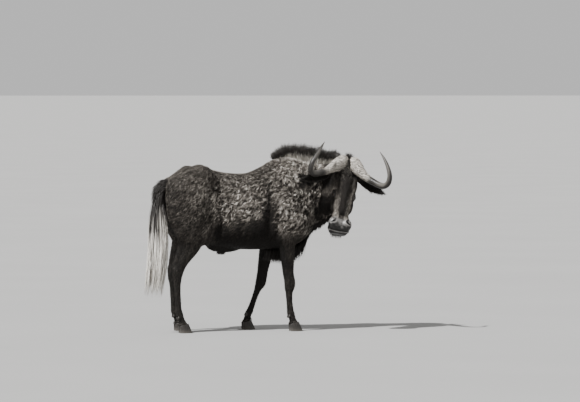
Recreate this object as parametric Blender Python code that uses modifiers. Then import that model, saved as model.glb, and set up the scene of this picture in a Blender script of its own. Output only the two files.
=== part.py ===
"""A black wildebeest bull, life size, standing and looking back along its right side.

Metres, +Z up, +X the way the body faces, +Y the animal's left. The body is modelled in lofted
pieces that are fused into one skin and then parted with thin cuts into torso, neck, head and
legs. Horns, ears, eyes, claws and tail are solids of their own, and the hair is flat locks.
"""
import math
import random

import bmesh
import bpy
from mathutils import Matrix, Vector
from mathutils.bvhtree import BVHTree

UP = Vector((0.0, 0.0, 1.0))
AHEAD = Vector((1.0, 0.0, 0.0))
LEFT = Vector((0.0, 1.0, 0.0))
SIDES = {"right": -1.0, "left": 1.0}

GAP = 0.0003

# Trunk sections from the rump forward: place ahead, top, bottom, half width, and how much
# narrower the top is than the bottom.
TRUNK = (
    (-0.700, 0.985, 0.800, 0.070, 0.00),
    (-0.675, 1.045, 0.730, 0.120, 0.00),
    (-0.610, 1.100, 0.650, 0.165, 0.05),
    (-0.530, 1.138, 0.610, 0.180, 0.08),
    (-0.450, 1.145, 0.600, 0.180, 0.10),
    (-0.340, 1.108, 0.585, 0.180, 0.22),
    (-0.230, 1.090, 0.568, 0.198, 0.25),
    (-0.110, 1.092, 0.560, 0.208, 0.25),
    (-0.010, 1.133, 0.560, 0.205, 0.30),
    (0.080, 1.184, 0.562, 0.190, 0.38),
    (0.160, 1.200, 0.570, 0.172, 0.40),
    (0.240, 1.192, 0.590, 0.150, 0.35),
    (0.310, 1.148, 0.640, 0.120, 0.25),
    (0.360, 1.060, 0.710, 0.080, 0.15),
)

# Neck sections from the shoulders to the back of the head: place, half height, half width.
NECK = (
    (0.160, 0.000, 0.919, 0.279, 0.150),
    (0.260, 0.002, 0.933, 0.256, 0.130),
    (0.355, 0.006, 0.943, 0.226, 0.112),
    (0.440, -0.008, 0.958, 0.197, 0.100),
    (0.500, -0.050, 0.982, 0.172, 0.092),
    (0.528, -0.110, 1.015, 0.140, 0.084),
    (0.538, -0.170, 1.045, 0.100, 0.072),
)
CREST_NARROWING = 0.38

# Limb sections from the body down: height, half depth fore and aft, half width.
FORE_SIZES = (
    (0.800, 0.085, 0.050),
    (0.700, 0.080, 0.052),
    (0.620, 0.066, 0.050),
    (0.550, 0.053, 0.043),
    (0.470, 0.046, 0.037),
    (0.400, 0.040, 0.033),
    (0.340, 0.040, 0.035),
    (0.300, 0.037, 0.034),
    (0.262, 0.026, 0.025),
    (0.200, 0.0235, 0.0220),
    (0.150, 0.0250, 0.0240),
    (0.120, 0.0290, 0.0275),
    (0.088, 0.0250, 0.0270),
    (0.055, 0.0310, 0.0320),
    (0.030, 0.0310, 0.0320),
)
FORE_AHEAD = {
    "right": (0.135, 0.135, 0.139, 0.143, 0.147, 0.151, 0.162, 0.161, 0.157, 0.160, 0.165,
              0.170, 0.180, 0.192, 0.197),
    "left": (0.120, 0.100, 0.085, 0.068, 0.053, 0.040, 0.030, 0.020, -0.001, -0.025, -0.044,
             -0.057, -0.068, -0.076, -0.074),
}
FORE_ASIDE = 0.130
HIND_SIZES = (
    (1.110, 0.050, 0.030),
    (1.060, 0.110, 0.070),
    (0.950, 0.145, 0.092),
    (0.840, 0.146, 0.092),
    (0.740, 0.130, 0.082),
    (0.660, 0.103, 0.068),
    (0.600, 0.078, 0.056),
    (0.545, 0.060, 0.045),
    (0.500, 0.049, 0.036),
    (0.455, 0.041, 0.030),
    (0.410, 0.040, 0.029),
    (0.360, 0.031, 0.027),
    (0.300, 0.0240, 0.0225),
    (0.200, 0.0230, 0.0215),
    (0.160, 0.0240, 0.0230),
    (0.128, 0.0285, 0.0275),
    (0.094, 0.0245, 0.0265),
    (0.055, 0.0310, 0.0320),
    (0.030, 0.0310, 0.0320),
)
HIND_AHEAD = (-0.500, -0.520, -0.550, -0.560, -0.552, -0.540, -0.535, -0.553, -0.583, -0.610,
              -0.630, -0.635, -0.633, -0.628, -0.625, -0.620, -0.606, -0.590, -0.585)
HIND_ASIDE = 0.122
HIND_STEP = {"right": 0.0, "left": 0.028}
HIND_STEP_TOP = 0.80
HIND_STEP_FULL = 0.48

# The rounded forms on each side of the body and their radii: shoulder, upper arm, hip point,
# croup, stifle.
BODY_FORMS = (
    (0.130, 0.100, 0.900, 0.110, 0.082, 0.220),
    (0.195, 0.100, 0.740, 0.105, 0.074, 0.115),
    (-0.455, 0.100, 1.056, 0.105, 0.092, 0.078),
    (-0.630, 0.070, 0.985, 0.070, 0.066, 0.085),
    (-0.455, 0.140, 0.700, 0.070, 0.050, 0.105),
)
# The ridge of the sheath along the middle of the belly.
SHEATH_FORM = ((-0.268, 0.0, 0.588), (0.135, 0.046, 0.047))
# The point of the elbow, from the foreleg's section beside it.
ELBOW_SECTION = 2
ELBOW_BEHIND = 0.050
ELBOW_PLACE = (0.140, 0.650)
ELBOW_RADII = (0.040, 0.034, 0.060)
# The point of the hock, the end of the tendon above it, and the rods' radii.
HEEL = (-0.660, 0.428)
TENDON_TOP = (-0.590, 0.640)
TENDON_RADII = (0.013, 0.036)
HEEL_RADII = (0.016, 0.010)
HEEL_RISE = 0.012
HEEL_DROP = 0.070

# The head hangs from a point on the brow between the horns.
BROW = Vector((0.553, -0.250, 1.160))
HEAD_TURN = math.radians(-100.0)
HEAD_ROLL = math.radians(10.5)
FACE_TILT = math.radians(14.5)

# Head sections down the face: distance below the brow, half width, front, back, squareness,
# and how much narrower the back is than the front.
HEAD = (
    (-0.045, 0.045, -0.040, -0.095, 2.2, 0.0),
    (-0.020, 0.066, -0.022, -0.135, 2.3, 0.0),
    (0.040, 0.080, -0.018, -0.170, 2.4, 0.0),
    (0.100, 0.088, -0.012, -0.205, 2.4, 0.1),
    (0.160, 0.090, -0.004, -0.232, 2.4, 0.2),
    (0.220, 0.084, 0.000, -0.232, 2.4, 0.3),
    (0.280, 0.070, 0.002, -0.200, 2.4, 0.3),
    (0.335, 0.063, 0.004, -0.165, 2.4, 0.3),
    (0.376, 0.069, 0.010, -0.145, 2.5, 0.3),
    (0.414, 0.079, 0.018, -0.135, 2.7, 0.3),
    (0.452, 0.085, 0.018, -0.128, 2.8, 0.3),
    (0.482, 0.080, 0.008, -0.118, 2.7, 0.3),
    (0.504, 0.058, -0.014, -0.098, 2.4, 0.2),
)

# Horn sections from the parting outward, in the head's upright frame: aside, ahead, above the
# brow, half height, half depth.
HORN = (
    (0.013, -0.043, -0.008, 0.040, 0.024),
    (0.036, -0.034, -0.009, 0.059, 0.038),
    (0.070, -0.022, -0.026, 0.051, 0.040),
    (0.108, -0.002, -0.054, 0.037, 0.036),
    (0.146, 0.022, -0.082, 0.0275, 0.030),
    (0.184, 0.054, -0.100, 0.0240, 0.0250),
    (0.222, 0.092, -0.114, 0.0222, 0.0226),
    (0.253, 0.128, -0.113, 0.0212, 0.0212),
    (0.272, 0.150, -0.086, 0.0198, 0.0198),
    (0.274, 0.151, -0.038, 0.0172, 0.0172),
    (0.257, 0.130, 0.020, 0.0135, 0.0135),
    (0.229, 0.098, 0.074, 0.0085, 0.0085),
    (0.201, 0.072, 0.113, 0.0012, 0.0012),
)
# How far each section is drawn in towards the head; the two horns differ.
HORN_DRAWN_IN = {
    "right": (0.0, 0.0, 0.0, 0.0, 0.0, 0.0, 0.0, 0.0, 0.0, 0.008, 0.016, 0.010, 0.0),
    "left": (0.0, 0.004, 0.010, 0.012, 0.008, 0.004, 0.0, 0.0, 0.0, 0.002, 0.007, 0.012, 0.016),
}

# The rounded forms on each side of the head (aside, out, up the face) and their radii: the
# orbit, the brow over it, the crest of the cheek under it, the cheek, the nostril's flap.
HEAD_FORMS = (
    (0.052, -0.040, -0.222, 0.033, 0.037, 0.056),
    (0.060, -0.046, -0.150, 0.027, 0.046, 0.070),
    (0.052, -0.050, -0.292, 0.027, 0.042, 0.062),
    (0.048, -0.120, -0.215, 0.034, 0.095, 0.070),
    (0.044, 0.000, -0.440, 0.038, 0.032, 0.046),
)

EYE_PLACE = Vector((0.061, -0.031, -0.233))
EYE_RADIUS = 0.0215
# The way the lids' opening faces (aside, out, up the face), its slant, and its half sizes as
# shares of the eyeball's radius.
LID_LOOK = Vector((0.74, 0.67, 0.05))
LID_SLANT = 0.40
LID_LENGTH = 1.05
LID_HEIGHT = 0.46
LID_POINTS = 12
# The lids' section: how far out from the eyeball's surface and how far from the opening.
LID_SECTION = ((-0.004, 0.001), (0.004, 0.002), (0.001, 0.013), (-0.010, 0.015))

# The mouth's line and a nostril, as turns round the muzzle in degrees from its front and
# levels down the face.
MOUTH_TURNS = (-128, -114, -98, -80, -60, -40, -20, 0, 20, 40, 60, 80, 98, 114, 128)
MOUTH_LEVELS = (-0.385, -0.414, -0.440, -0.461, -0.475, -0.482, -0.485, -0.486, -0.485, -0.482,
                -0.475, -0.461, -0.440, -0.414, -0.385)
NOSTRIL_TURNS = (67, 71, 67, 55, 40, 28, 27, 36)
NOSTRIL_LEVELS = (-0.452, -0.434, -0.415, -0.402, -0.400, -0.410, -0.427, -0.436)
# Half widths and depths of the grooves, and the lower lip's place under the mouth and radius.
MOUTH_GROOVE = (0.0035, 0.007)
NOSTRIL_GROOVE = (0.0060, 0.014)
LIP = (0.009, 0.007)

EAR_ROOT = Vector((0.060, -0.115, -0.085))
EAR_TIP = {"right": Vector((0.290, -0.090, -0.175)), "left": Vector((0.285, -0.090, -0.168))}
# Ear sections: share of the way to the tip, half width, depth of the cup, thickness.
EAR = (
    (0.00, 0.017, 0.026, 0.022),
    (0.12, 0.018, 0.026, 0.020),
    (0.24, 0.025, 0.026, 0.010),
    (0.42, 0.034, 0.022, 0.0055),
    (0.62, 0.034, 0.017, 0.0045),
    (0.80, 0.025, 0.012, 0.0040),
    (0.93, 0.012, 0.008, 0.0032),
    (1.00, 0.002, 0.003, 0.0020),
)

CLAW_LENGTH = 0.088
CLAW_WIDTH = 0.036
CLAW_HEIGHT = 0.058
CLAW_REACH = 0.014
CLEFT = 0.006
DEWCLAW_BEHIND = 0.042
DEWCLAW_ASIDE = 0.016
DEWCLAW_HEIGHT = 0.108
DEWCLAW_SIZES = (0.012, 0.009, 0.018)

# The dock of the tail, with its half thickness, and the line that the hair hangs along.
DOCK = (
    (-0.640, 0.000, 1.008, 0.044),
    (-0.690, -0.004, 1.000, 0.042),
    (-0.728, -0.018, 0.965, 0.038),
    (-0.748, -0.040, 0.890, 0.034),
    (-0.756, -0.060, 0.800, 0.030),
    (-0.760, -0.075, 0.710, 0.024),
    (-0.764, -0.088, 0.640, 0.012),
)
TAIL = (
    (-0.700, -0.004, 1.000),
    (-0.738, -0.022, 0.950),
    (-0.750, -0.040, 0.890),
    (-0.756, -0.060, 0.800),
    (-0.760, -0.075, 0.710),
    (-0.766, -0.095, 0.600),
    (-0.776, -0.108, 0.470),
    (-0.800, -0.116, 0.300),
    (-0.806, -0.118, 0.230),
)
TAIL_LOCKS = 30
TAIL_SECTIONS = 4
TAIL_BOTTOM = 0.235
TAIL_ROOT = 0.960
TAIL_ROOT_RUN = 0.290
TAIL_LOCK_WIDTH = 0.050
TAIL_LOCK_THICKNESS = 0.014

WITHERS_AHEAD = 0.088
MANE_STATIONS = 21
MANE_START = 0.01
MANE_END = 0.84
MANE_HEIGHT = 0.138
# The mane starts lower at the withers and is full from this share of its run on.
MANE_START_DROP = 0.66
MANE_FULL = 0.48
MANE_END_DROP = 0.46
MANE_WIDTH = 0.052
# The mane leans back at its start and a little ahead from the middle on, in degrees.
MANE_LEAN_START = -50
MANE_LEAN_TURN = 58
MANE_ROW_ASIDE = 0.009
MANE_CORE_HEIGHT = 0.055
MANE_CORE_WIDTH = 0.011
MANE_CORE_SINK = 0.015
LOCK_SINK = 0.012
THROAT_STATIONS = 9
THROAT_START = 0.38
THROAT_RUN = 0.34
THROAT_LENGTH = 0.068
THROAT_WIDTH = 0.040
BRISKET_STATIONS = 9
BRISKET_START = 0.030
BRISKET_END = 0.315
BRISKET_LENGTH = 0.092
BRISKET_GAIN = 0.072
BRISKET_WIDTH = 0.042
BRISKET_ASIDE = 0.018
SHEATH_AHEAD = -0.290
SHEATH_LENGTH = 0.020
BRUSH_STATIONS = 7
BRUSH_TOP = 0.155
BRUSH_RUN = 0.225
BRUSH_ASIDE = 0.017
BRUSH_LENGTH = 0.056
BRUSH_WIDTH = 0.034
BEARD_STATIONS = 8
BEARD_TOP = 0.280
BEARD_RUN = 0.200
BEARD_ASIDE = 0.018
BEARD_LENGTH = 0.052
BEARD_WIDTH = 0.038

BODY_VOXEL = 0.008
SLIM_BELOW = 0.50
SLIM_FADE = 0.15
SLIM_SOFTNESS = 0.12
SKIN_VOXEL = 0.005
REST_TRIANGLES = 2780
HEAD_TRIANGLES = 1620

for old in list(bpy.data.objects):
    bpy.data.objects.remove(old, do_unlink=True)


def new_collection(name):
    made = bpy.data.collections.new(name)
    bpy.context.scene.collection.children.link(made)
    return made


ANIMAL = new_collection("black_wildebeest")
CUTTERS = new_collection("cutters")


def smooth_rows(rows, steps):
    """The rows with more between them, on a curve that passes through them all."""
    last = len(rows) - 1
    result = []
    for index in range(last):
        before = rows[max(index - 1, 0)]
        after = rows[min(index + 2, last)]
        for step in range(steps):
            f = step / steps
            row = []
            for p0, p1, p2, p3 in zip(before, rows[index], rows[index + 1], after):
                row.append(0.5 * (2 * p1 + (p2 - p0) * f + (2 * p0 - 5 * p1 + 4 * p2 - p3) * f * f
                                  + (3 * p1 - p0 - 3 * p2 + p3) * f ** 3))
            result.append(tuple(row))
    result.append(tuple(rows[last]))
    return result


def section(centre, side, up, half_side, half_up, power=2.0, narrowing=0.0, count=24):
    """A closed ring of points; narrowing draws in its upper half."""
    ring = []
    for index in range(count):
        angle = 2 * math.pi * index / count
        across = math.copysign(abs(math.cos(angle)) ** (2 / power), math.cos(angle))
        above = math.copysign(abs(math.sin(angle)) ** (2 / power), math.sin(angle))
        width = half_side * (1 - narrowing * (above + 1) / 2)
        ring.append(centre + side * (across * width) + up * (above * half_up))
    return ring


def loft(rings, tip=None):
    """A closed skin through rings of equal count, with flat ends or a pointed tip."""
    skin = bmesh.new()
    loops = [[skin.verts.new(point) for point in ring] for ring in rings]
    count = len(rings[0])
    for first, second in zip(loops, loops[1:]):
        for index in range(count):
            after = (index + 1) % count
            skin.faces.new((first[index], first[after], second[after], second[index]))
    skin.faces.new(loops[0][::-1])
    if tip is None:
        skin.faces.new(loops[-1])
    else:
        end = skin.verts.new(tip)
        for index in range(count):
            skin.faces.new((loops[-1][index], loops[-1][(index + 1) % count], end))
    bmesh.ops.recalc_face_normals(skin, faces=skin.faces)
    return skin


def ball(centre, radii, turn=None, segments=20, rings=12):
    """An ellipsoid; turn is the matrix that sets it in place."""
    skin = bmesh.new()
    place = Matrix.Translation(centre) @ (turn or Matrix()) @ Matrix.Diagonal((*radii, 1.0))
    bmesh.ops.create_uvsphere(skin, u_segments=segments, v_segments=rings, radius=1.0,
                              matrix=place)
    return skin


def make_object(name, skin, collection=None):
    mesh = bpy.data.meshes.new(name)
    skin.to_mesh(mesh)
    skin.free()
    made = bpy.data.objects.new(name, mesh)
    (collection or ANIMAL).objects.link(made)
    return made


def apply_modifiers(obj):
    """Replace the object's mesh with what its modifiers make of it."""
    bpy.context.view_layer.update()
    seen = obj.evaluated_get(bpy.context.evaluated_depsgraph_get())
    mesh = bpy.data.meshes.new_from_object(seen)
    obj.modifiers.clear()
    old = obj.data
    obj.data = mesh
    bpy.data.meshes.remove(old)
    return obj


def remove(obj):
    bpy.data.objects.remove(obj, do_unlink=True)


def fuse(name, skins, voxel, smoothing):
    """One closed skin round overlapping ones, its creases smoothed."""
    joined = bmesh.new()
    for skin in skins:
        mesh = bpy.data.meshes.new("piece")
        skin.to_mesh(mesh)
        skin.free()
        joined.from_mesh(mesh)
        bpy.data.meshes.remove(mesh)
    made = make_object(name, joined)
    remesh = made.modifiers.new("remesh", "REMESH")
    remesh.mode = "VOXEL"
    remesh.voxel_size = voxel
    apply_modifiers(made)
    soft = made.vertex_groups.new(name="soft")
    for vert in made.data.vertices:
        share = min(max((vert.co.z - SLIM_BELOW) / SLIM_FADE, SLIM_SOFTNESS), 1.0)
        soft.add([vert.index], share, "REPLACE")
    soften = made.modifiers.new("soften", "SMOOTH")
    soften.factor = 0.5
    soften.iterations = smoothing
    soften.vertex_group = "soft"
    apply_modifiers(made)
    made.vertex_groups.clear()
    return made


def as_skin(obj):
    skin = bmesh.new()
    skin.from_mesh(obj.data)
    return skin


def thin_out(obj, triangles):
    """Reduce an object to about the stated number of triangles, keeping it closed."""
    full = obj.data.copy()
    now = sum(len(face.vertices) - 2 for face in full.polygons)
    for attempt in range(12):
        obj.data = full.copy()
        reduce = obj.modifiers.new("reduce", "DECIMATE")
        reduce.ratio = triangles * (1 + 0.013 * attempt) / now
        reduce.use_collapse_triangulate = True
        apply_modifiers(obj)
        skin = as_skin(obj)
        closed = all(edge.is_manifold for edge in skin.edges)
        skin.free()
        if closed:
            break
    bpy.data.meshes.remove(full)
    return obj


def copy_of(obj, name):
    made = obj.copy()
    made.data = obj.data.copy()
    made.name = name
    ANIMAL.objects.link(made)
    return made


def boolean(obj, other, operation, solver="MANIFOLD"):
    """Cut, keep or add another closed solid; it moves to the cutters."""
    for holder in list(other.users_collection):
        holder.objects.unlink(other)
    CUTTERS.objects.link(other)
    change = obj.modifiers.new("boolean", "BOOLEAN")
    change.operation = operation
    change.solver = solver
    change.object = other
    apply_modifiers(obj)
    remove(other)
    return obj


def box(name, frame, low, high):
    """A block between two corners of a frame."""
    low, high = Vector(low), Vector(high)
    skin = bmesh.new()
    size = Matrix.Diagonal((*(high - low), 1.0))
    bmesh.ops.create_cube(skin, size=1.0,
                          matrix=frame @ Matrix.Translation((low + high) / 2) @ size)
    return make_object(name, skin, CUTTERS)


def part_off(whole, name, frame, low, high):
    """Split off what lies in a block of a frame; the cut is as wide as the gap."""
    inner = copy_of(whole, name)
    boolean(inner, box("keep", frame, low, high), "INTERSECT")
    grown_low = [value - GAP for value in low]
    grown_high = [value + GAP for value in high]
    boolean(whole, box("clear", frame, grown_low, grown_high), "DIFFERENCE")
    return inner


def keep_largest(obj):
    """Keep only the largest closed surface of an object."""
    skin = as_skin(obj)
    seen = set()
    best = []
    for start in skin.verts:
        if start in seen:
            continue
        island = []
        queue = [start]
        seen.add(start)
        while queue:
            vert = queue.pop()
            island.append(vert)
            for edge in vert.link_edges:
                near = edge.other_vert(vert)
                if near not in seen:
                    seen.add(near)
                    queue.append(near)
        if len(island) > len(best):
            best = island
    kept = set(best)
    bmesh.ops.delete(skin, geom=[vert for vert in skin.verts if vert not in kept])
    skin.to_mesh(obj.data)
    skin.free()
    return obj


def cut_clear(obj, others):
    """Cut an object back to the gap from its neighbours."""
    for other in others:
        grown = copy_of(other, "grown")
        swell = grown.modifiers.new("swell", "DISPLACE")
        swell.strength = GAP
        swell.mid_level = 0.0
        apply_modifiers(grown)
        boolean(obj, grown, "DIFFERENCE")
    return keep_largest(obj)


def unite(obj, skins, solver="MANIFOLD"):
    """Fuse closed skins to an object in one union."""
    group = bpy.data.collections.new("joined")
    CUTTERS.children.link(group)
    for index, skin in enumerate(skins):
        make_object(f"piece_{index}", skin, group)
    join = obj.modifiers.new("join", "BOOLEAN")
    join.operation = "UNION"
    join.solver = solver
    join.operand_type = "COLLECTION"
    join.collection = group
    apply_modifiers(obj)
    for piece in list(group.objects):
        remove(piece)
    bpy.data.collections.remove(group)
    return keep_largest(obj)


def columns(first, second, third, origin):
    """The frame with these axes and origin."""
    frame = Matrix((first, second, third)).transposed().to_4x4()
    frame.translation = origin
    return frame


HEADING = Vector((math.cos(HEAD_TURN), math.sin(HEAD_TURN), 0.0))
ASIDE_LEVEL = UP.cross(HEADING)
ASIDE = ASIDE_LEVEL * math.cos(HEAD_ROLL) - UP * math.sin(HEAD_ROLL)
CROWN = UP * math.cos(HEAD_ROLL) + ASIDE_LEVEL * math.sin(HEAD_ROLL)
FACE_OUT = HEADING * math.cos(FACE_TILT) + CROWN * math.sin(FACE_TILT)
FACE_UP = CROWN * math.cos(FACE_TILT) - HEADING * math.sin(FACE_TILT)
UPRIGHT = columns(ASIDE, HEADING, CROWN, BROW)
FACE = columns(ASIDE, FACE_OUT, FACE_UP, BROW)


def trunk_skin():
    rings = []
    for ahead, top, bottom, half_width, narrowing in smooth_rows(TRUNK, 4):
        centre = Vector((ahead, 0.0, (top + bottom) / 2))
        rings.append(section(centre, LEFT, UP, half_width * (1 + narrowing * 0.3),
                             (top - bottom) / 2, 2.3, narrowing, 32))
    return loft(rings)


def neck_skin():
    rows = smooth_rows(NECK, 4)
    rings = []
    for index, (x, y, z, half_height, half_width) in enumerate(rows):
        before = Vector(rows[max(index - 1, 0)][:3])
        after = Vector(rows[min(index + 1, len(rows) - 1)][:3])
        along = (after - before)
        along.z = 0.0
        side = UP.cross(along.normalized())
        rings.append(section(Vector((x, y, z)), side, UP, half_width * 1.08, half_height, 2.2,
                             CREST_NARROWING, 28))
    return loft(rings)


def limb_skin(sizes, ahead, aside):
    rows = [(x, *size) for x, size in zip(ahead, sizes)]
    rings = []
    for x, z, half_depth, half_width in smooth_rows(rows, 3):
        rings.append(section(Vector((x, aside, z)), AHEAD, LEFT, half_depth, half_width,
                             2.2, 0.0, 18))
    return loft(rings)


def rod(start, end, start_radius, end_radius, flat=1.0, across=None):
    """A tapered rod between two points, for tendons and ridges."""
    along = (end - start).normalized()
    side = (across or along.orthogonal()).normalized()
    up = along.cross(side).normalized()
    rings = []
    for step in range(5):
        f = step / 4
        radius = start_radius + (end_radius - start_radius) * f
        rings.append(section(start.lerp(end, f), side, up, radius * flat, radius, 2.0, 0.0, 10))
    return loft(rings)


def hind_ahead(side):
    """Where a hind leg's sections stand; the left foot is set a little further ahead."""
    places = []
    for x, (height, _, _) in zip(HIND_AHEAD, HIND_SIZES):
        share = (HIND_STEP_TOP - height) / (HIND_STEP_TOP - HIND_STEP_FULL)
        places.append(x + HIND_STEP[side] * min(max(share, 0.0), 1.0))
    return places


def body_skins():
    skins = [trunk_skin(), neck_skin(), ball(*SHEATH_FORM)]
    for side, sign in SIDES.items():
        skins.append(limb_skin(FORE_SIZES, FORE_AHEAD[side], sign * FORE_ASIDE))
        skins.append(limb_skin(HIND_SIZES, hind_ahead(side), sign * HIND_ASIDE))
        for x, y, z, *radii in BODY_FORMS:
            skins.append(ball((x, sign * y, z), radii))
        level, height = ELBOW_PLACE
        elbow = FORE_AHEAD[side][ELBOW_SECTION] - ELBOW_BEHIND
        skins.append(ball((elbow, sign * level, height), ELBOW_RADII))
        step = HIND_STEP[side]
        aside = sign * HIND_ASIDE
        heel = Vector((HEEL[0] + step, aside, HEEL[1]))
        top = Vector((TENDON_TOP[0] + step / 2, aside, TENDON_TOP[1]))
        skins.append(rod(heel, top, *TENDON_RADII, 0.8, LEFT))
        skins.append(rod(heel + UP * HEEL_RISE, heel - UP * HEEL_DROP, *HEEL_RADII, 1.1, LEFT))
    return skins


def face_point(x, y, z):
    return FACE @ Vector((x, y, z))


def head_skins():
    skins = []
    rings = []
    for below, half_width, front, back, power, narrowing in smooth_rows(HEAD, 4):
        centre = face_point(0.0, (front + back) / 2, -below)
        rings.append(section(centre, -ASIDE, -FACE_OUT, half_width, (front - back) / 2,
                             power, narrowing, 28))
    skins.append(loft(rings))
    turn = FACE.to_3x3().to_4x4()
    for sign in SIDES.values():
        for x, y, z, *radii in HEAD_FORMS:
            skins.append(ball(face_point(sign * x, y, z), radii, turn))
    return skins


def flesh():
    """The whole fleshy body as one fine skin."""
    body = fuse("body", body_skins(), BODY_VOXEL, 34)
    head = fuse("head_core", head_skins(), SKIN_VOXEL, 3)
    whole = fuse("flesh", [as_skin(body), as_skin(head)], SKIN_VOXEL, 2)
    remove(body)
    remove(head)
    return whole


def finish(obj, colour, roughness):
    material = bpy.data.materials.new(obj.name)
    material.use_nodes = True
    shader = material.node_tree.nodes["Principled BSDF"]
    shader.inputs["Base Color"].default_value = (*colour, 1.0)
    shader.inputs["Roughness"].default_value = roughness
    obj.data.materials.clear()
    obj.data.materials.append(material)
    obj.data.shade_smooth()
    obj.data.set_sharp_from_angle(angle=math.radians(40.0))


HIDE = (0.030, 0.028, 0.026)
HORN_GREY = (0.200, 0.190, 0.175)
HOOF = (0.035, 0.032, 0.030)
EYE_BLACK = (0.012, 0.010, 0.009)
TAIL_WHITE = (0.420, 0.400, 0.370)

NECK_CUT = columns(Vector((0.905, 0.0, 0.425)), LEFT, Vector((-0.425, 0.0, 0.905)),
                   Vector((0.205, 0.0, 0.900)))

# The cut behind the head stands across the neck. Its outline gives how far along the neck's
# end it lies and at what height; the lowest points pass through the air under the jaw.
HEAD_CUT_WAY = math.radians(-66.0)
HEAD_CUT = (
    (0.324, 1.280),
    (0.234, 0.800),
    (0.300, 0.775),
    (0.300, 0.500),
    (0.800, 0.500),
    (0.800, 1.280),
)


# The blocks that the legs are parted with: back, front and top. They stand this far from the
# middle, reach this far aside and start under the floor.
FORE_BLOCK = (-0.20, 0.35, 0.545)
HIND_BLOCK = (-0.80, -0.35, 0.590)
LEG_INSIDE = 0.035
LEG_OUTSIDE = 0.300
UNDER_FLOOR = -0.05
NECK_BLOCK = ((0.0, -0.5, -0.6), (0.8, 0.5, 0.6))
HEAD_SPARE = 0.010


def head_block(shift):
    """A block round the head, moved along the neck by a shift."""
    way = Vector((math.cos(HEAD_CUT_WAY), math.sin(HEAD_CUT_WAY), 0.0))
    side = UP.cross(way)
    rings = []
    for reach in (-0.35, 0.35):
        rings.append([way * (along + shift) + UP * height + side * reach
                      for along, height in HEAD_CUT])
    middle = side * (BROW.dot(side))
    return make_object("head_block", loft([[point + middle for point in ring] for ring in rings]),
                       CUTTERS)


def parted_flesh():
    """The nodes of flesh, cut from one skin."""
    whole = flesh()
    front = copy_of(whole, "head")
    boolean(front, head_block(-HEAD_SPARE), "INTERSECT")
    keep_largest(front)
    thin_out(front, HEAD_TRIANGLES)
    boolean(front, head_block(GAP / 2), "INTERSECT")
    thin_out(whole, REST_TRIANGLES)
    nodes = {"head": front}
    upright = Matrix()
    for side, sign in SIDES.items():
        low_y, high_y = sorted((sign * LEG_INSIDE, sign * LEG_OUTSIDE))
        for pair, (back, front_end, top) in (("fore", FORE_BLOCK), ("hind", HIND_BLOCK)):
            leg = part_off(whole, f"{pair}_leg_{side}", upright, (back, low_y, UNDER_FLOOR),
                           (front_end, high_y, top))
            nodes[leg.name] = leg
    boolean(whole, head_block(-GAP / 2), "DIFFERENCE")
    keep_largest(whole)
    neck = part_off(whole, "neck", NECK_CUT, *NECK_BLOCK)
    whole.name = "torso"
    nodes["neck"] = neck
    nodes["torso"] = whole
    for node in nodes.values():
        keep_largest(node)
    return nodes


def surface(tree, origin, way):
    """Where a ray meets a surface, and the outward side there."""
    place, normal, _, _ = tree.ray_cast(origin, way)
    return place, normal


def tree_of(obj):
    skin = as_skin(obj)
    tree = BVHTree.FromBMesh(skin)
    skin.free()
    return tree


def horn_skin(side):
    """A horn swept along its curve; each section is turned as little as the curve allows."""
    sign = SIDES[side]
    drawn_in = HORN_DRAWN_IN[side]
    rows = smooth_rows([(x - inward, *row) for (x, *row), inward in zip(HORN, drawn_in)], 2)
    points = [UPRIGHT @ Vector((sign * row[0], row[1], row[2])) for row in rows]
    rings = []
    height = CROWN
    for index, row in enumerate(rows):
        before = points[max(index - 1, 0)]
        after = points[min(index + 1, len(points) - 1)]
        along = (after - before).normalized()
        height = (height - along * height.dot(along)).normalized()
        depth = along.cross(height)
        rings.append(section(points[index], depth, height, row[4], row[3], 2.1, 0.0, 11))
    return loft(rings)


def claw_skin(ahead, aside):
    """One claw of a cloven hoof, its toe drawn out forward and its sole flat on the floor."""
    rings = []
    for rise in (0.0, 0.5, 1.35):
        half_length = CLAW_LENGTH / 2 * (1 - 0.27 * rise)
        half_width = CLAW_WIDTH / 2 * (1 - 0.12 * rise)
        centre = ahead + CLAW_REACH * (1 - rise)
        ring = []
        for index in range(12):
            angle = 2 * math.pi * index / 12
            toe = 1 - 0.38 * ((math.cos(angle) + 1) / 2) ** 2
            ring.append(Vector((centre + half_length * math.cos(angle),
                                aside + half_width * math.sin(angle) * toe * 1.12,
                                CLAW_HEIGHT * rise)))
        rings.append(ring)
    return loft(rings)


def ear_skin(sign, end):
    """A cupped leaf with its open side ahead; it fills in towards its root."""
    root = UPRIGHT @ Vector((sign * EAR_ROOT.x, EAR_ROOT.y, EAR_ROOT.z))
    tip = UPRIGHT @ Vector((sign * end.x, end.y, end.z))
    along = (tip - root).normalized()
    open_way = HEADING * 0.92 - CROWN * 0.38
    across = along.cross(open_way).normalized()
    open_way = across.cross(along).normalized()
    rings = []
    for share, half_width, depth, thickness in smooth_rows(EAR, 2):
        centre = root.lerp(tip, share)
        ring = []
        for inset, order in ((0.0, range(-3, 4)), (thickness, range(3, -4, -1))):
            for index in order:
                v = index / 3
                reach = math.sin(v * math.pi / 2)
                drop = max(depth - inset, 0.1 * depth) * (1 - v * v)
                ring.append(centre + across * (reach * (half_width - inset * 0.6))
                            - open_way * drop)
        rings.append(ring)
    return loft(rings)


def hoop(rings):
    """A closed skin through rings that run in a loop."""
    skin = bmesh.new()
    loops = [[skin.verts.new(point) for point in ring] for ring in rings]
    count = len(rings[0])
    for first, second in zip(loops, loops[1:] + loops[:1]):
        for index in range(count):
            after = (index + 1) % count
            skin.faces.new((first[index], first[after], second[after], second[index]))
    bmesh.ops.recalc_face_normals(skin, faces=skin.faces)
    return skin


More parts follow.
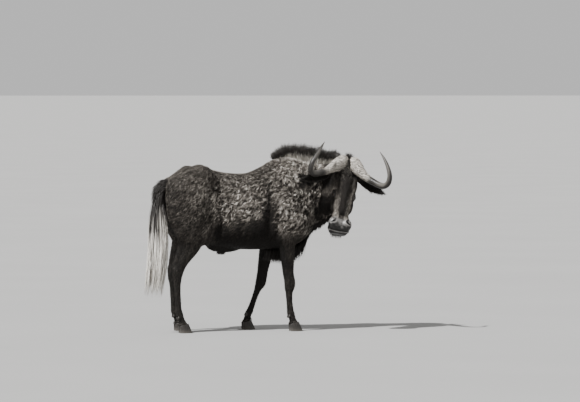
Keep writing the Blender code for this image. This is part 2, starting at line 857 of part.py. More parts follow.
def lid_skin(sign):
    """The two lids as one almond loop laid on the eyeball."""
    centre = face_point(sign * EYE_PLACE.x, EYE_PLACE.y, EYE_PLACE.z)
    look = (ASIDE * (sign * LID_LOOK.x) + FACE_OUT * LID_LOOK.y + FACE_UP * LID_LOOK.z)
    look.normalize()
    long_way = (FACE_UP - FACE_OUT * LID_SLANT)
    long_way = (long_way - look * long_way.dot(look)).normalized()
    short_way = look.cross(long_way)
    rings = []
    for index in range(LID_POINTS):
        angle = 2 * math.pi * index / LID_POINTS
        across = math.copysign(abs(math.sin(angle)) ** 1.3, math.sin(angle))
        spoke = long_way * (math.cos(angle) * LID_LENGTH) + short_way * (across * LID_HEIGHT)
        way = (look + spoke).normalized()
        edge = centre + way * EYE_RADIUS
        away = (spoke - way * spoke.dot(way)).normalized()
        rings.append([edge + way * rise + away * reach for rise, reach in LID_SECTION])
    return hoop(rings)


def muzzle_path(tree, turns, levels):
    """Points on the muzzle's surface at turns round it and levels down it, with their sides."""
    path = []
    for turn, level in zip(turns, levels):
        way = ASIDE * math.sin(math.radians(turn)) + FACE_OUT * math.cos(math.radians(turn))
        middle = face_point(0.0, -0.060, level)
        place, normal = surface(tree, middle + way * 0.3, -way)
        path.append((place, normal))
    return path


def groove(path, half, depth):
    """A cutter with a V section that runs along a path on a surface."""
    rings = []
    last = len(path) - 1
    for index, (place, normal) in enumerate(path):
        before = path[max(index - 1, 0)][0]
        after = path[min(index + 1, last)][0]
        side = (after - before).cross(normal).normalized()
        share = 0.35 if index in (0, last) else 1.0
        rings.append([place + side * (half * share) + normal * 0.003,
                      place - side * (half * share) + normal * 0.003,
                      place - normal * (depth * share)])
    return loft(rings)


def lip_skin(path, offset, radius):
    """A roll of flesh along a path, set down the face by an offset."""
    rings = []
    last = len(path) - 1
    for index, (place, normal) in enumerate(path):
        before = path[max(index - 1, 0)][0]
        after = path[min(index + 1, last)][0]
        along = (after - before).normalized()
        side = along.cross(normal).normalized()
        if side.dot(FACE_UP) > 0:
            side = -side
        share = 0.4 if index in (0, last) else 1.0
        centre = place + side * offset - normal * (radius * 0.4)
        rings.append([centre + normal * (radius * share), centre + side * (radius * share),
                      centre - normal * (radius * share), centre - side * (radius * share)])
    return loft(rings)


def face_details(head):
    """Lids, lips, the line of the mouth and the nostrils, on the bare head."""
    mouth = muzzle_path(tree_of(head), MOUTH_TURNS, MOUTH_LEVELS)
    unite(head, [lid_skin(-1.0), lid_skin(1.0), lip_skin(mouth, *LIP)])
    cutters = [groove(mouth, *MOUTH_GROOVE)]
    tree = tree_of(head)
    for sign in SIDES.values():
        turns = [sign * turn for turn in NOSTRIL_TURNS]
        cutters.append(groove(muzzle_path(tree, turns, NOSTRIL_LEVELS), *NOSTRIL_GROOVE))
    for cutter in cutters:
        boolean(head, make_object("groove", cutter, CUTTERS), "DIFFERENCE")
    keep_largest(head)


def blade(points, out, width, thickness):
    """A flat lock through points, ridged on its outer side and drawn to its last point."""
    rings = []
    last = len(points) - 1
    for index, point in enumerate(points[:-1]):
        along = (points[index + 1] - points[max(index - 1, 0)]).normalized()
        face = (out - along * out.dot(along)).normalized()
        side = along.cross(face)
        share = index / last
        half = width * (1 - share ** 2.4) * (0.78 + 0.22 * math.sin(math.pi * share)) / 2
        deep = thickness * (1 - 0.5 * share ** 2) / 2
        rings.append([point + side * half - face * deep, point + face * deep,
                      point - side * half - face * deep])
    return loft(rings, points[-1])


def lock(root, out, lie, length, width, thickness, across, sink=LOCK_SINK, sections=3):
    """A lock that leaves its root along one way and bends to another."""
    out = out.normalized()
    lie = lie.normalized()
    place = root - out * sink
    stretch = (length + sink) / sections
    points = [place]
    for index in range(sections):
        way = out.lerp(lie, (index + 0.5) / sections).normalized()
        place = place + way * stretch
        points.append(place)
    return blade(points, across.cross(out), width, thickness)


def along_neck(share):
    """The neck's midline seen from above, from the withers to the poll."""
    rows = smooth_rows(((WITHERS_AHEAD, 0.0, 0.0, 0.0, 0.0), *NECK), 4)
    place = share * (len(rows) - 1)
    index = min(int(place), len(rows) - 2)
    here = Vector((*rows[index][:2], 0.0))
    there = Vector((*rows[index + 1][:2], 0.0))
    return here.lerp(there, place - index), (there - here).normalized()


def mane_height(share):
    """How high the mane stands over the crest."""
    rising = 1.0 - min(share / MANE_FULL, 1.0)
    return (MANE_HEIGHT * (1.0 - MANE_START_DROP * rising ** 2)
            * (1.0 - MANE_END_DROP * share ** 3))


def mane_core(tree):
    """The dense lower half of the mane."""
    rings = []
    for index in range(11):
        share = index / 10
        start, along = along_neck(MANE_START + (MANE_END - MANE_START) * share)
        side = UP.cross(along)
        place, _ = surface(tree, Vector((start.x, start.y, 1.5)), -UP)
        if place is None:
            continue
        top = MANE_CORE_HEIGHT * mane_height(share) / MANE_HEIGHT
        if index in (0, 10):
            top *= 0.5
        rings.append([place - UP * MANE_CORE_SINK + side * MANE_CORE_WIDTH,
                      place - UP * MANE_CORE_SINK - side * MANE_CORE_WIDTH,
                      place + UP * (top * 0.6) - side * MANE_CORE_WIDTH,
                      place + UP * top,
                      place + UP * (top * 0.6) + side * MANE_CORE_WIDTH])
    return loft(rings)


def mane_locks(neck):
    draw = random.Random(11)
    tree = tree_of(neck)
    locks = [mane_core(tree)]
    for index in range(MANE_STATIONS):
        share = index / (MANE_STATIONS - 1)
        start, along = along_neck(MANE_START + (MANE_END - MANE_START) * share)
        side = UP.cross(along)
        height = mane_height(share)
        turned = MANE_LEAN_TURN * min(share * 1.9, 1.0)
        lean = math.radians(MANE_LEAN_START + turned + draw.uniform(-6, 6))
        for row in (-1, 1):
            spot = start + side * (row * MANE_ROW_ASIDE) + along * draw.uniform(-0.006, 0.006)
            place, _ = surface(tree, Vector((spot.x, spot.y, 1.5)), -UP)
            if place is None:
                continue
            rise = UP * math.cos(lean) + along * math.sin(lean) + side * (row * 0.10)
            curl = rise + along * 0.25 + side * (row * 0.06)
            size = height * draw.uniform(0.86, 1.06)
            locks.append(lock(place, rise, curl, size, MANE_WIDTH, 0.009, along, 0.014, 2))
    return locks


def throat_locks(neck):
    """The fringe down the throat and the front of the chest."""
    draw = random.Random(12)
    tree = tree_of(neck)
    locks = []
    for index in range(THROAT_STATIONS):
        share = index / (THROAT_STATIONS - 1)
        start, along = along_neck(THROAT_START + THROAT_RUN * share)
        side = UP.cross(along)
        for row in (-0.5, 0.5):
            spot = start + side * (row * 0.030) + along * draw.uniform(-0.008, 0.008)
            place, _ = surface(tree, Vector((spot.x, spot.y, 0.3)), UP)
            if place is None:
                continue
            fall = -UP + along * 0.15 + side * (row * 0.25)
            size = THROAT_LENGTH * draw.uniform(0.75, 1.1) * (0.75 + 0.4 * (1 - share))
            locks.append(lock(place, fall, -UP - along * 0.55, size, THROAT_WIDTH, 0.010, along,
                              LOCK_SINK, 2))
    return locks


def belly_locks(torso):
    """The fringe of the brisket between the forelegs, and the tuft under the belly."""
    draw = random.Random(13)
    tree = tree_of(torso)
    locks = []
    spots = []
    for index in range(BRISKET_STATIONS):
        share = index / (BRISKET_STATIONS - 1)
        ahead = BRISKET_START + (BRISKET_END - BRISKET_START) * share
        for row in (-1, 1):
            spots.append((ahead, row * BRISKET_ASIDE, BRISKET_LENGTH + BRISKET_GAIN * share))
    for row in (-1, 0, 1):
        spots.append((SHEATH_AHEAD + 0.012 * row, 0.010 * row, SHEATH_LENGTH))
    for ahead, aside, length in spots:
        origin = Vector((ahead + draw.uniform(-0.006, 0.006), aside, 0.2))
        place, _ = surface(tree, origin, UP)
        if place is None:
            continue
        fall = -UP + LEFT * (aside * 2.5) - AHEAD * 0.1
        locks.append(lock(place, fall, -UP - AHEAD * 0.45, length * draw.uniform(0.75, 1.05),
                          BRISKET_WIDTH, 0.010, AHEAD, LOCK_SINK, 2))
    return locks


def head_locks(head):
    """The brush up the bridge of the nose, and the beard behind the chin."""
    draw = random.Random(14)
    tree = tree_of(head)
    locks = []
    for index in range(BRUSH_STATIONS):
        share = index / (BRUSH_STATIONS - 1)
        below = BRUSH_TOP + BRUSH_RUN * share
        for row in (-1, 0, 1):
            jitter = draw.uniform(-0.006, 0.006)
            origin = face_point(row * BRUSH_ASIDE, 0.30, -below - jitter)
            place, _ = surface(tree, origin, -FACE_OUT)
            rise = FACE_OUT * 0.55 + FACE_UP * 0.84 + ASIDE * (row * 0.30)
            curl = FACE_UP + FACE_OUT * 0.16 + ASIDE * (row * 0.34)
            across = FACE_UP if row else ASIDE
            locks.append(lock(place, rise, curl, BRUSH_LENGTH * draw.uniform(0.85, 1.1),
                              BRUSH_WIDTH, 0.009, across, LOCK_SINK, 2))
    for index in range(BEARD_STATIONS):
        share = index / (BEARD_STATIONS - 1)
        below = BEARD_TOP + BEARD_RUN * share
        for row in (-0.5, 0.5):
            origin = face_point(row * 2 * BEARD_ASIDE, -0.45, -below)
            place, _ = surface(tree, origin, FACE_OUT)
            fall = -FACE_OUT * 0.5 - FACE_UP * 0.8 + ASIDE * (row * 0.3)
            size = BEARD_LENGTH * draw.uniform(0.85, 1.1) * (1.15 - 0.6 * share)
            lie = -FACE_UP * 0.8 - UP * 0.2 - FACE_OUT * 0.1
            width = BEARD_WIDTH * (1.0 - 0.3 * share)
            locks.append(lock(place, fall, lie, size, width, 0.010, FACE_UP, LOCK_SINK, 2))
    return locks


def tail_centre(height):
    """The tail's midline, read by height."""
    rows = TAIL
    for first, second in zip(rows, rows[1:]):
        if height >= second[2]:
            f = (first[2] - height) / (first[2] - second[2])
            f = min(max(f, 0.0), 1.0)
            return Vector((first[0] + (second[0] - first[0]) * f,
                           first[1] + (second[1] - first[1]) * f, height))
    return Vector((rows[-1][0], rows[-1][1], height))


def tail_core():
    rings = []
    rows = smooth_rows(DOCK, 2)
    points = [Vector(row[:3]) for row in rows]
    for index, row in enumerate(rows):
        along = (points[min(index + 1, len(rows) - 1)] - points[max(index - 1, 0)]).normalized()
        side = (LEFT - along * LEFT.dot(along)).normalized()
        rings.append(section(points[index], side, along.cross(side), row[3], row[3], 2.0, 0.0, 10))
    return loft(rings)


def tail_locks():
    """Long locks that leave the dock all round and hang to different heights."""
    draw = random.Random(15)
    locks = []
    for index in range(TAIL_LOCKS):
        share = index / (TAIL_LOCKS - 1)
        angle = index * 2.39996
        root_height = TAIL_ROOT - TAIL_ROOT_RUN * share
        tip_height = TAIL_BOTTOM + draw.uniform(0.0, 0.16) + 0.22 * (1 - share) ** 2
        spread = Vector((math.cos(angle) * 0.95 + 0.05, math.sin(angle) * 0.75, 0.0))
        rows = []
        for step in range(TAIL_SECTIONS + 1):
            f = step / TAIL_SECTIONS
            height = root_height + (tip_height - root_height) * f
            wide = 0.020 + 0.058 * math.sin(math.pi * min(f * 0.72 + 0.02, 0.62))
            wide *= 0.45 + 0.55 * min(index % 3, 2) / 2
            rows.append(tail_centre(height) + spread * wide)
        width = TAIL_LOCK_WIDTH * draw.uniform(0.85, 1.15)
        locks.append(blade(rows, spread, width, TAIL_LOCK_THICKNESS))
    return locks


def hoof_claws(nodes):
    for side, sign in SIDES.items():
        for pair, ahead, level in (("fore", FORE_AHEAD[side][-2], FORE_ASIDE),
                                   ("hind", hind_ahead(side)[-2], HIND_ASIDE)):
            leg = nodes[f"{pair}_leg_{side}"]
            aside = sign * level
            behind = ahead - DEWCLAW_BEHIND
            unite(leg, [ball((behind, aside + way * DEWCLAW_ASIDE, DEWCLAW_HEIGHT),
                             DEWCLAW_SIZES, None, 6, 4) for way in (-1, 1)])
            coronet = columns(Vector((0.966, 0.0, 0.259)), LEFT, Vector((-0.259, 0.0, 0.966)),
                              Vector((ahead, aside, CLAW_HEIGHT)))
            boolean(leg, box("floor", coronet, (-0.2, -0.2, -0.2), (0.2, 0.2, GAP)), "DIFFERENCE")
            for place, way in (("inner", -sign), ("outer", sign)):
                claw_aside = aside + way * (CLAW_WIDTH + CLEFT) / 2
                claw = make_object(f"claw_{pair}_{side}_{place}",
                                   claw_skin(ahead, claw_aside))
                boolean(claw, box("top", coronet, (-0.2, -0.2, 0.0), (0.2, 0.2, 0.2)),
                        "DIFFERENCE")
                finish(claw, HOOF, 0.5)


def eyes(head):
    for side, sign in SIDES.items():
        centre = face_point(sign * EYE_PLACE.x, EYE_PLACE.y, EYE_PLACE.z)
        eye = make_object(f"eye_{side}", ball(centre, (EYE_RADIUS,) * 3, None, 14, 8))
        finish(eye, EYE_BLACK, 0.1)
        socket = make_object("socket", ball(centre, (EYE_RADIUS + GAP,) * 3, None, 14, 8))
        boolean(head, socket, "DIFFERENCE")


def stand_on_origin():
    """Set the middle of the whole box on the origin and its lowest point on the floor."""
    places = [vert.co for obj in ANIMAL.objects for vert in obj.data.vertices]
    middle = [(min(place[axis] for place in places) + max(place[axis] for place in places)) / 2
              for axis in (0, 1)]
    shift = Matrix.Translation(Vector((-middle[0], -middle[1], 0.0)))
    for obj in ANIMAL.objects:
        obj.data.transform(shift)
    return shift.translation


def build():
    nodes = parted_flesh()
    head, neck, torso = nodes["head"], nodes["neck"], nodes["torso"]
    horns = []
    ears = []
    for side, sign in SIDES.items():
        horn = make_object(f"horn_{side}", horn_skin(side))
        cut_clear(horn, [head, neck])
        horns.append(horn)
        ear = make_object(f"ear_{side}", ear_skin(sign, EAR_TIP[side]))
        cut_clear(ear, [head, neck, horn])
        ears.append(ear)
    tail = make_object("tail", tail_core())
    unite(tail, tail_locks())
    cut_clear(tail, [torso, nodes["hind_leg_right"], nodes["hind_leg_left"]])
    hoof_claws(nodes)
    face_details(head)
    eyes(head)
    unite(torso, belly_locks(torso))
    cut_clear(torso, [neck, nodes["fore_leg_right"], nodes["fore_leg_left"]])
    unite(head, head_locks(head))
    cut_clear(head, [neck, *horns, *ears])
    unite(neck, mane_locks(neck) + throat_locks(neck))
    cut_clear(neck, [head, *horns, *ears, torso])
    for horn in horns:
        finish(horn, HORN_GREY, 0.6)
    for piece in (*ears, *nodes.values()):
        finish(piece, HIDE, 0.8)
    finish(tail, TAIL_WHITE, 0.8)
    return stand_on_origin()


SHIFT = build()
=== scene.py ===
import math

import bmesh
import bpy
import numpy as np
from mathutils import Matrix, Vector
from mathutils.bvhtree import BVHTree


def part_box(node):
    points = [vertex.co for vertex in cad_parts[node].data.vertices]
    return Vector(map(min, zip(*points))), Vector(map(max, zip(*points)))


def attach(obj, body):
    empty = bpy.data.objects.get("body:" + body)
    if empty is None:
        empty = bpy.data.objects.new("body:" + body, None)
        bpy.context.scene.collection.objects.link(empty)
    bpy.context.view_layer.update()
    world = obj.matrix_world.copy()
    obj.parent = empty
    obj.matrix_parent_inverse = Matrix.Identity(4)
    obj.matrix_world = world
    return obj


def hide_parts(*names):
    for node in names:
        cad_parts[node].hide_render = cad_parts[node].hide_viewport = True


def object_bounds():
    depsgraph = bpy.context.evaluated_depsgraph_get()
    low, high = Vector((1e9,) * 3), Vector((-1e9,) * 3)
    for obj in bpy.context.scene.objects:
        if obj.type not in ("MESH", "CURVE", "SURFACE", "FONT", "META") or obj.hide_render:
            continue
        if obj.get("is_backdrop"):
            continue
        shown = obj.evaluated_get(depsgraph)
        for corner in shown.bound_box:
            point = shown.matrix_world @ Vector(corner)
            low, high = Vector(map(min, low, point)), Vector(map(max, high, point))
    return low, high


# A black wildebeest bull, life size. All shapes are built in metres in a working frame with the
# withers over its origin, and then moved by one shift onto the solids.

print("loading the frame")
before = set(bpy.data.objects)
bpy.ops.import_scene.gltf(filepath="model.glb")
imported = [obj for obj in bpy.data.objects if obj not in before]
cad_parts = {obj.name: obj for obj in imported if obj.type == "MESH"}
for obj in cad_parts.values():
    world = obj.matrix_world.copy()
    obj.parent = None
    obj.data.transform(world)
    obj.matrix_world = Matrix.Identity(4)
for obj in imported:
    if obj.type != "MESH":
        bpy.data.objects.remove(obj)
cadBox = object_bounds()
cadBox = [list(cadBox[0]), list(cadBox[1])]

up = Vector((0.0, 0.0, 1.0))
ahead = Vector((1.0, 0.0, 0.0))
left = Vector((0.0, 1.0, 0.0))
sides = {"right": -1.0, "left": 1.0}

body = {
    # place ahead, top, bottom, half width, narrowing of the top
    "trunk": (
        (-0.700, 0.985, 0.800, 0.070, 0.00), (-0.675, 1.045, 0.730, 0.120, 0.00),
        (-0.610, 1.100, 0.650, 0.165, 0.05), (-0.530, 1.138, 0.610, 0.180, 0.08),
        (-0.450, 1.145, 0.600, 0.180, 0.10), (-0.340, 1.108, 0.585, 0.180, 0.22),
        (-0.230, 1.090, 0.568, 0.198, 0.25), (-0.110, 1.092, 0.560, 0.208, 0.25),
        (-0.010, 1.133, 0.560, 0.205, 0.30), (0.080, 1.184, 0.562, 0.190, 0.38),
        (0.160, 1.200, 0.570, 0.172, 0.40), (0.240, 1.192, 0.590, 0.150, 0.35),
        (0.310, 1.148, 0.640, 0.120, 0.25), (0.360, 1.060, 0.710, 0.080, 0.15),
    ),
    # place, half height, half width
    "neck": (
        (0.160, 0.000, 0.919, 0.279, 0.150), (0.260, 0.002, 0.933, 0.256, 0.130),
        (0.355, 0.006, 0.943, 0.226, 0.112), (0.440, -0.008, 0.958, 0.197, 0.100),
        (0.500, -0.050, 0.982, 0.172, 0.092), (0.528, -0.110, 1.015, 0.140, 0.084),
        (0.538, -0.170, 1.045, 0.100, 0.072),
    ),
    # shoulder, upper arm, hip point, croup, stifle: place and radii
    "forms": (
        (0.130, 0.100, 0.900, 0.110, 0.082, 0.220), (0.195, 0.100, 0.740, 0.105, 0.074, 0.115),
        (-0.455, 0.100, 1.056, 0.105, 0.092, 0.078), (-0.630, 0.070, 0.985, 0.070, 0.066, 0.085),
        (-0.455, 0.140, 0.700, 0.070, 0.050, 0.105),
    ),
    "sheath": ((-0.268, 0.0, 0.588), (0.135, 0.046, 0.047)),
    "crestNarrowing": 0.38,
    "voxel": 0.008,
    "softening": 34,
    "slimBelow": 0.50,
    "slimFade": 0.15,
    "slimSoftness": 0.12,
}

limbs = {
    # height, half depth, half width
    "foreSizes": (
        (0.800, 0.085, 0.050), (0.700, 0.080, 0.052), (0.620, 0.066, 0.050),
        (0.550, 0.053, 0.043), (0.470, 0.046, 0.037), (0.400, 0.040, 0.033),
        (0.340, 0.040, 0.035), (0.300, 0.037, 0.034), (0.262, 0.026, 0.025),
        (0.200, 0.0235, 0.0220), (0.150, 0.0250, 0.0240), (0.120, 0.0290, 0.0275),
        (0.088, 0.0250, 0.0270), (0.055, 0.0310, 0.0320), (0.030, 0.0310, 0.0320),
    ),
    "foreAhead": {
        "right": (0.135, 0.135, 0.139, 0.143, 0.147, 0.151, 0.162, 0.161, 0.157, 0.160, 0.165,
                  0.170, 0.180, 0.192, 0.197),
        "left": (0.120, 0.100, 0.085, 0.068, 0.053, 0.040, 0.030, 0.020, -0.001, -0.025,
                 -0.044, -0.057, -0.068, -0.076, -0.074),
    },
    "foreAside": 0.130,
    "hindSizes": (
        (1.110, 0.050, 0.030), (1.060, 0.110, 0.070), (0.950, 0.145, 0.092),
        (0.840, 0.146, 0.092), (0.740, 0.130, 0.082), (0.660, 0.103, 0.068),
        (0.600, 0.078, 0.056), (0.545, 0.060, 0.045), (0.500, 0.049, 0.036),
        (0.455, 0.041, 0.030), (0.410, 0.040, 0.029), (0.360, 0.031, 0.027),
        (0.300, 0.0240, 0.0225), (0.200, 0.0230, 0.0215), (0.160, 0.0240, 0.0230),
        (0.128, 0.0285, 0.0275), (0.094, 0.0245, 0.0265), (0.055, 0.0310, 0.0320),
        (0.030, 0.0310, 0.0320),
    ),
    "hindAhead": (-0.500, -0.520, -0.550, -0.560, -0.552, -0.540, -0.535, -0.553, -0.583,
                  -0.610, -0.630, -0.635, -0.633, -0.628, -0.625, -0.620, -0.606, -0.590,
                  -0.585),
    "hindAside": 0.122,
    "hindStep": {"right": 0.0, "left": 0.028},
    "stepTop": 0.80,
    "stepFull": 0.48,
}

headForm = {
    "brow": Vector((0.553, -0.250, 1.160)),
    "turn": math.radians(-100.0),
    "roll": math.radians(10.5),
    "tilt": math.radians(14.5),
    # distance below the brow, half width, front, back, squareness, narrowing of the back
    "rows": (
        (-0.045, 0.045, -0.040, -0.095, 2.2, 0.0), (-0.020, 0.066, -0.022, -0.135, 2.3, 0.0),
        (0.040, 0.080, -0.018, -0.170, 2.4, 0.0), (0.100, 0.088, -0.012, -0.205, 2.4, 0.1),
        (0.160, 0.090, -0.004, -0.232, 2.4, 0.2), (0.220, 0.084, 0.000, -0.232, 2.4, 0.3),
        (0.280, 0.070, 0.002, -0.200, 2.4, 0.3), (0.335, 0.063, 0.004, -0.165, 2.4, 0.3),
        (0.376, 0.069, 0.010, -0.145, 2.5, 0.3), (0.414, 0.079, 0.018, -0.135, 2.7, 0.3),
        (0.452, 0.085, 0.018, -0.128, 2.8, 0.3), (0.482, 0.080, 0.008, -0.118, 2.7, 0.3),
        (0.504, 0.058, -0.014, -0.098, 2.4, 0.2),
    ),
    # orbit, brow, crest of the cheek, cheek, nostril's flap: place and radii
    "forms": (
        (0.052, -0.040, -0.222, 0.033, 0.037, 0.056), (0.060, -0.046, -0.150, 0.027, 0.046, 0.070),
        (0.052, -0.050, -0.292, 0.027, 0.042, 0.062), (0.048, -0.120, -0.215, 0.034, 0.095, 0.070),
        (0.044, 0.000, -0.440, 0.038, 0.032, 0.046),
    ),
    "rounding": 0.5,    # how much rounder the face is between the eyes and the nostrils
    "voxel": 0.0032,
    "mouthTurns": (-128, -114, -98, -80, -60, -40, -20, 0, 20, 40, 60, 80, 98, 114, 128),
    "mouthLevels": (-0.385, -0.414, -0.440, -0.461, -0.475, -0.482, -0.485, -0.486, -0.485,
                    -0.482, -0.475, -0.461, -0.440, -0.414, -0.385),
    "nostrilTurns": (67, 71, 67, 55, 40, 28, 27, 36),
    "nostrilLevels": (-0.452, -0.434, -0.415, -0.402, -0.400, -0.410, -0.427, -0.436),
}

eye = {
    "place": Vector((0.061, -0.031, -0.233)),
    "radius": 0.0215,
    "look": Vector((0.74, 0.67, 0.05)),
    "slant": 0.40,
    "length": 1.00,
    "height": 0.62,
    "lid": 0.0280,
    # size, height over the eye, start and end of the folds round it
    "folds": ((0.0095, 0.006, 0.15, 2.6), (0.0060, 0.004, -2.3, -0.5)),
}

heading = Vector((math.cos(headForm["turn"]), math.sin(headForm["turn"]), 0.0))
asideLevel = up.cross(heading)
aside = asideLevel * math.cos(headForm["roll"]) - up * math.sin(headForm["roll"])
crown = up * math.cos(headForm["roll"]) + asideLevel * math.sin(headForm["roll"])
faceOut = heading * math.cos(headForm["tilt"]) + crown * math.sin(headForm["tilt"])
faceUp = crown * math.cos(headForm["tilt"]) - heading * math.sin(headForm["tilt"])


def columns(first, second, third, origin):
    made = Matrix((first, second, third)).transposed().to_4x4()
    made.translation = origin
    return made


upright = columns(aside, heading, crown, headForm["brow"])
face = columns(aside, faceOut, faceUp, headForm["brow"])
faceTurn = face.to_3x3().to_4x4()


def facePoint(x, y, z):
    return face @ Vector((x, y, z))


eyeRight = facePoint(-eye["place"].x, eye["place"].y, eye["place"].z)
low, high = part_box("eye_right")
shift = (low + high) / 2 - eyeRight     # from the working frame to the solids' frame
print("shift", [round(value, 4) for value in shift])


def smoothRows(rows, steps):
    last = len(rows) - 1
    result = []
    for index in range(last):
        before = rows[max(index - 1, 0)]
        after = rows[min(index + 2, last)]
        for step in range(steps):
            f = step / steps
            row = []
            for a, b, c, d in zip(before, rows[index], rows[index + 1], after):
                row.append(0.5 * (2 * b + (c - a) * f + (2 * a - 5 * b + 4 * c - d) * f * f
                                  + (3 * b - a - 3 * c + d) * f ** 3))
            result.append(tuple(row))
    result.append(tuple(rows[last]))
    return result


def section(centre, side, rise, halfSide, halfUp, power=2.0, narrowing=0.0, count=24):
    ring = []
    for index in range(count):
        angle = 2 * math.pi * index / count
        across = math.copysign(abs(math.cos(angle)) ** (2 / power), math.cos(angle))
        above = math.copysign(abs(math.sin(angle)) ** (2 / power), math.sin(angle))
        width = halfSide * (1 - narrowing * (above + 1) / 2)
        ring.append(centre + side * (across * width) + rise * (above * halfUp))
    return ring


def loft(rings, tip=None, looped=False):
    skin = bmesh.new()
    loops = [[skin.verts.new(point) for point in ring] for ring in rings]
    count = len(rings[0])
    followers = loops[1:] + (loops[:1] if looped else [])
    for first, second in zip(loops, followers):
        for index in range(count):
            after = (index + 1) % count
            skin.faces.new((first[index], first[after], second[after], second[index]))
    if not looped:
        skin.faces.new(loops[0][::-1])
        if tip is None:
            skin.faces.new(loops[-1])
        else:
            end = skin.verts.new(tip)
            for index in range(count):
                skin.faces.new((loops[-1][index], loops[-1][(index + 1) % count], end))
    bmesh.ops.recalc_face_normals(skin, faces=skin.faces)
    return skin


def ball(centre, radii, turn=None, segments=24, rings=16):
    skin = bmesh.new()
    place = Matrix.Translation(centre) @ (turn or Matrix()) @ Matrix.Diagonal((*radii, 1.0))
    bmesh.ops.create_uvsphere(skin, u_segments=segments, v_segments=rings, radius=1.0,
                              matrix=place)
    return skin


def makeObject(name, skin):
    mesh = bpy.data.meshes.new(name)
    skin.to_mesh(mesh)
    skin.free()
    made = bpy.data.objects.new(name, mesh)
    bpy.context.scene.collection.objects.link(made)
    return made


def applyModifiers(piece):
    bpy.context.view_layer.update()
    seen = piece.evaluated_get(bpy.context.evaluated_depsgraph_get())
    mesh = bpy.data.meshes.new_from_object(seen)
    piece.modifiers.clear()
    old = piece.data
    piece.data = mesh
    bpy.data.meshes.remove(old)
    return piece


def drop(piece):
    bpy.data.objects.remove(piece, do_unlink=True)


def joinSkins(name, skins):
    joined = bmesh.new()
    for skin in skins:
        mesh = bpy.data.meshes.new("piece")
        skin.to_mesh(mesh)
        skin.free()
        joined.from_mesh(mesh)
        bpy.data.meshes.remove(mesh)
    return makeObject(name, joined)


def asSkin(piece):
    skin = bmesh.new()
    skin.from_mesh(piece.data)
    return skin


def places(piece):
    found = np.empty(len(piece.data.vertices) * 3)
    piece.data.vertices.foreach_get("co", found)
    return found.reshape(-1, 3)


def outward(piece):
    found = np.empty(len(piece.data.vertices) * 3, np.float32)
    piece.data.vertex_normals.foreach_get("vector", found)
    return found.reshape(-1, 3).astype(float)


def fuse(name, skins, voxel, smoothing, soft=None):
    made = joinSkins(name, skins)
    remesh = made.modifiers.new("remesh", "REMESH")
    remesh.mode = "VOXEL"
    remesh.voxel_size = voxel
    applyModifiers(made)
    soften = made.modifiers.new("soften", "SMOOTH")
    soften.factor = 0.5
    soften.iterations = smoothing
    if soft:
        group = made.vertex_groups.new(name="soft")
        shares = soft(places(made))
        for level in range(1, 21):
            chosen = np.nonzero(np.round(shares * 20).astype(int) == level)[0]
            if len(chosen):
                group.add(chosen.tolist(), level / 20, "REPLACE")
        soften.vertex_group = "soft"
    applyModifiers(made)
    made.vertex_groups.clear()
    return made


def boolean(piece, skin, operation):
    other = makeObject("cutter", skin)
    change = piece.modifiers.new("boolean", "BOOLEAN")
    change.operation = operation
    change.solver = "MANIFOLD"
    change.object = other
    applyModifiers(piece)
    drop(other)
    return piece


def treeOf(piece):
    skin = asSkin(piece)
    tree = BVHTree.FromBMesh(skin)
    skin.free()
    return tree


def smoothStep(value, low, high):
    share = np.clip((value - low) / (high - low), 0, 1)
    return share * share * (3 - 2 * share)


def trunkSkin():
    rings = []
    for x, top, bottom, halfWidth, narrowing in smoothRows(body["trunk"], 4):
        centre = Vector((x, 0.0, (top + bottom) / 2))
        rings.append(section(centre, left, up, halfWidth * (1 + narrowing * 0.3),
                             (top - bottom) / 2, 2.3, narrowing, 32))
    return loft(rings)


def neckSkin():
    rows = smoothRows(body["neck"], 4)
    rings = []
    for index, (x, y, z, halfHeight, halfWidth) in enumerate(rows):
        before = Vector(rows[max(index - 1, 0)][:3])
        after = Vector(rows[min(index + 1, len(rows) - 1)][:3])
        along = after - before
        along.z = 0.0
        side = up.cross(along.normalized())
        rings.append(section(Vector((x, y, z)), side, up, halfWidth * 1.08, halfHeight, 2.2,
                             body["crestNarrowing"], 28))
    return loft(rings)


def limbSkin(sizes, aheads, level):
    rows = [(x, *size) for x, size in zip(aheads, sizes)]
    rings = []
    for x, z, halfDepth, halfWidth in smoothRows(rows, 3):
        rings.append(section(Vector((x, level, z)), ahead, left, halfDepth, halfWidth, 2.2,
                             0.0, 24))
    return loft(rings)


def rod(start, end, startRadius, endRadius, flat=1.0, across=None, count=12):
    along = (end - start).normalized()
    side = (across or along.orthogonal()).normalized()
    rise = along.cross(side).normalized()
    rings = []
    for step in range(7):
        f = step / 6
        radius = startRadius + (endRadius - startRadius) * f
        rings.append(section(start.lerp(end, f), side, rise, radius * flat, radius, 2.0, 0.0,
                             count))
    return loft(rings)


def hindAhead(side):
    found = []
    for x, (height, _, _) in zip(limbs["hindAhead"], limbs["hindSizes"]):
        share = (limbs["stepTop"] - height) / (limbs["stepTop"] - limbs["stepFull"])
        found.append(x + limbs["hindStep"][side] * min(max(share, 0.0), 1.0))
    return found


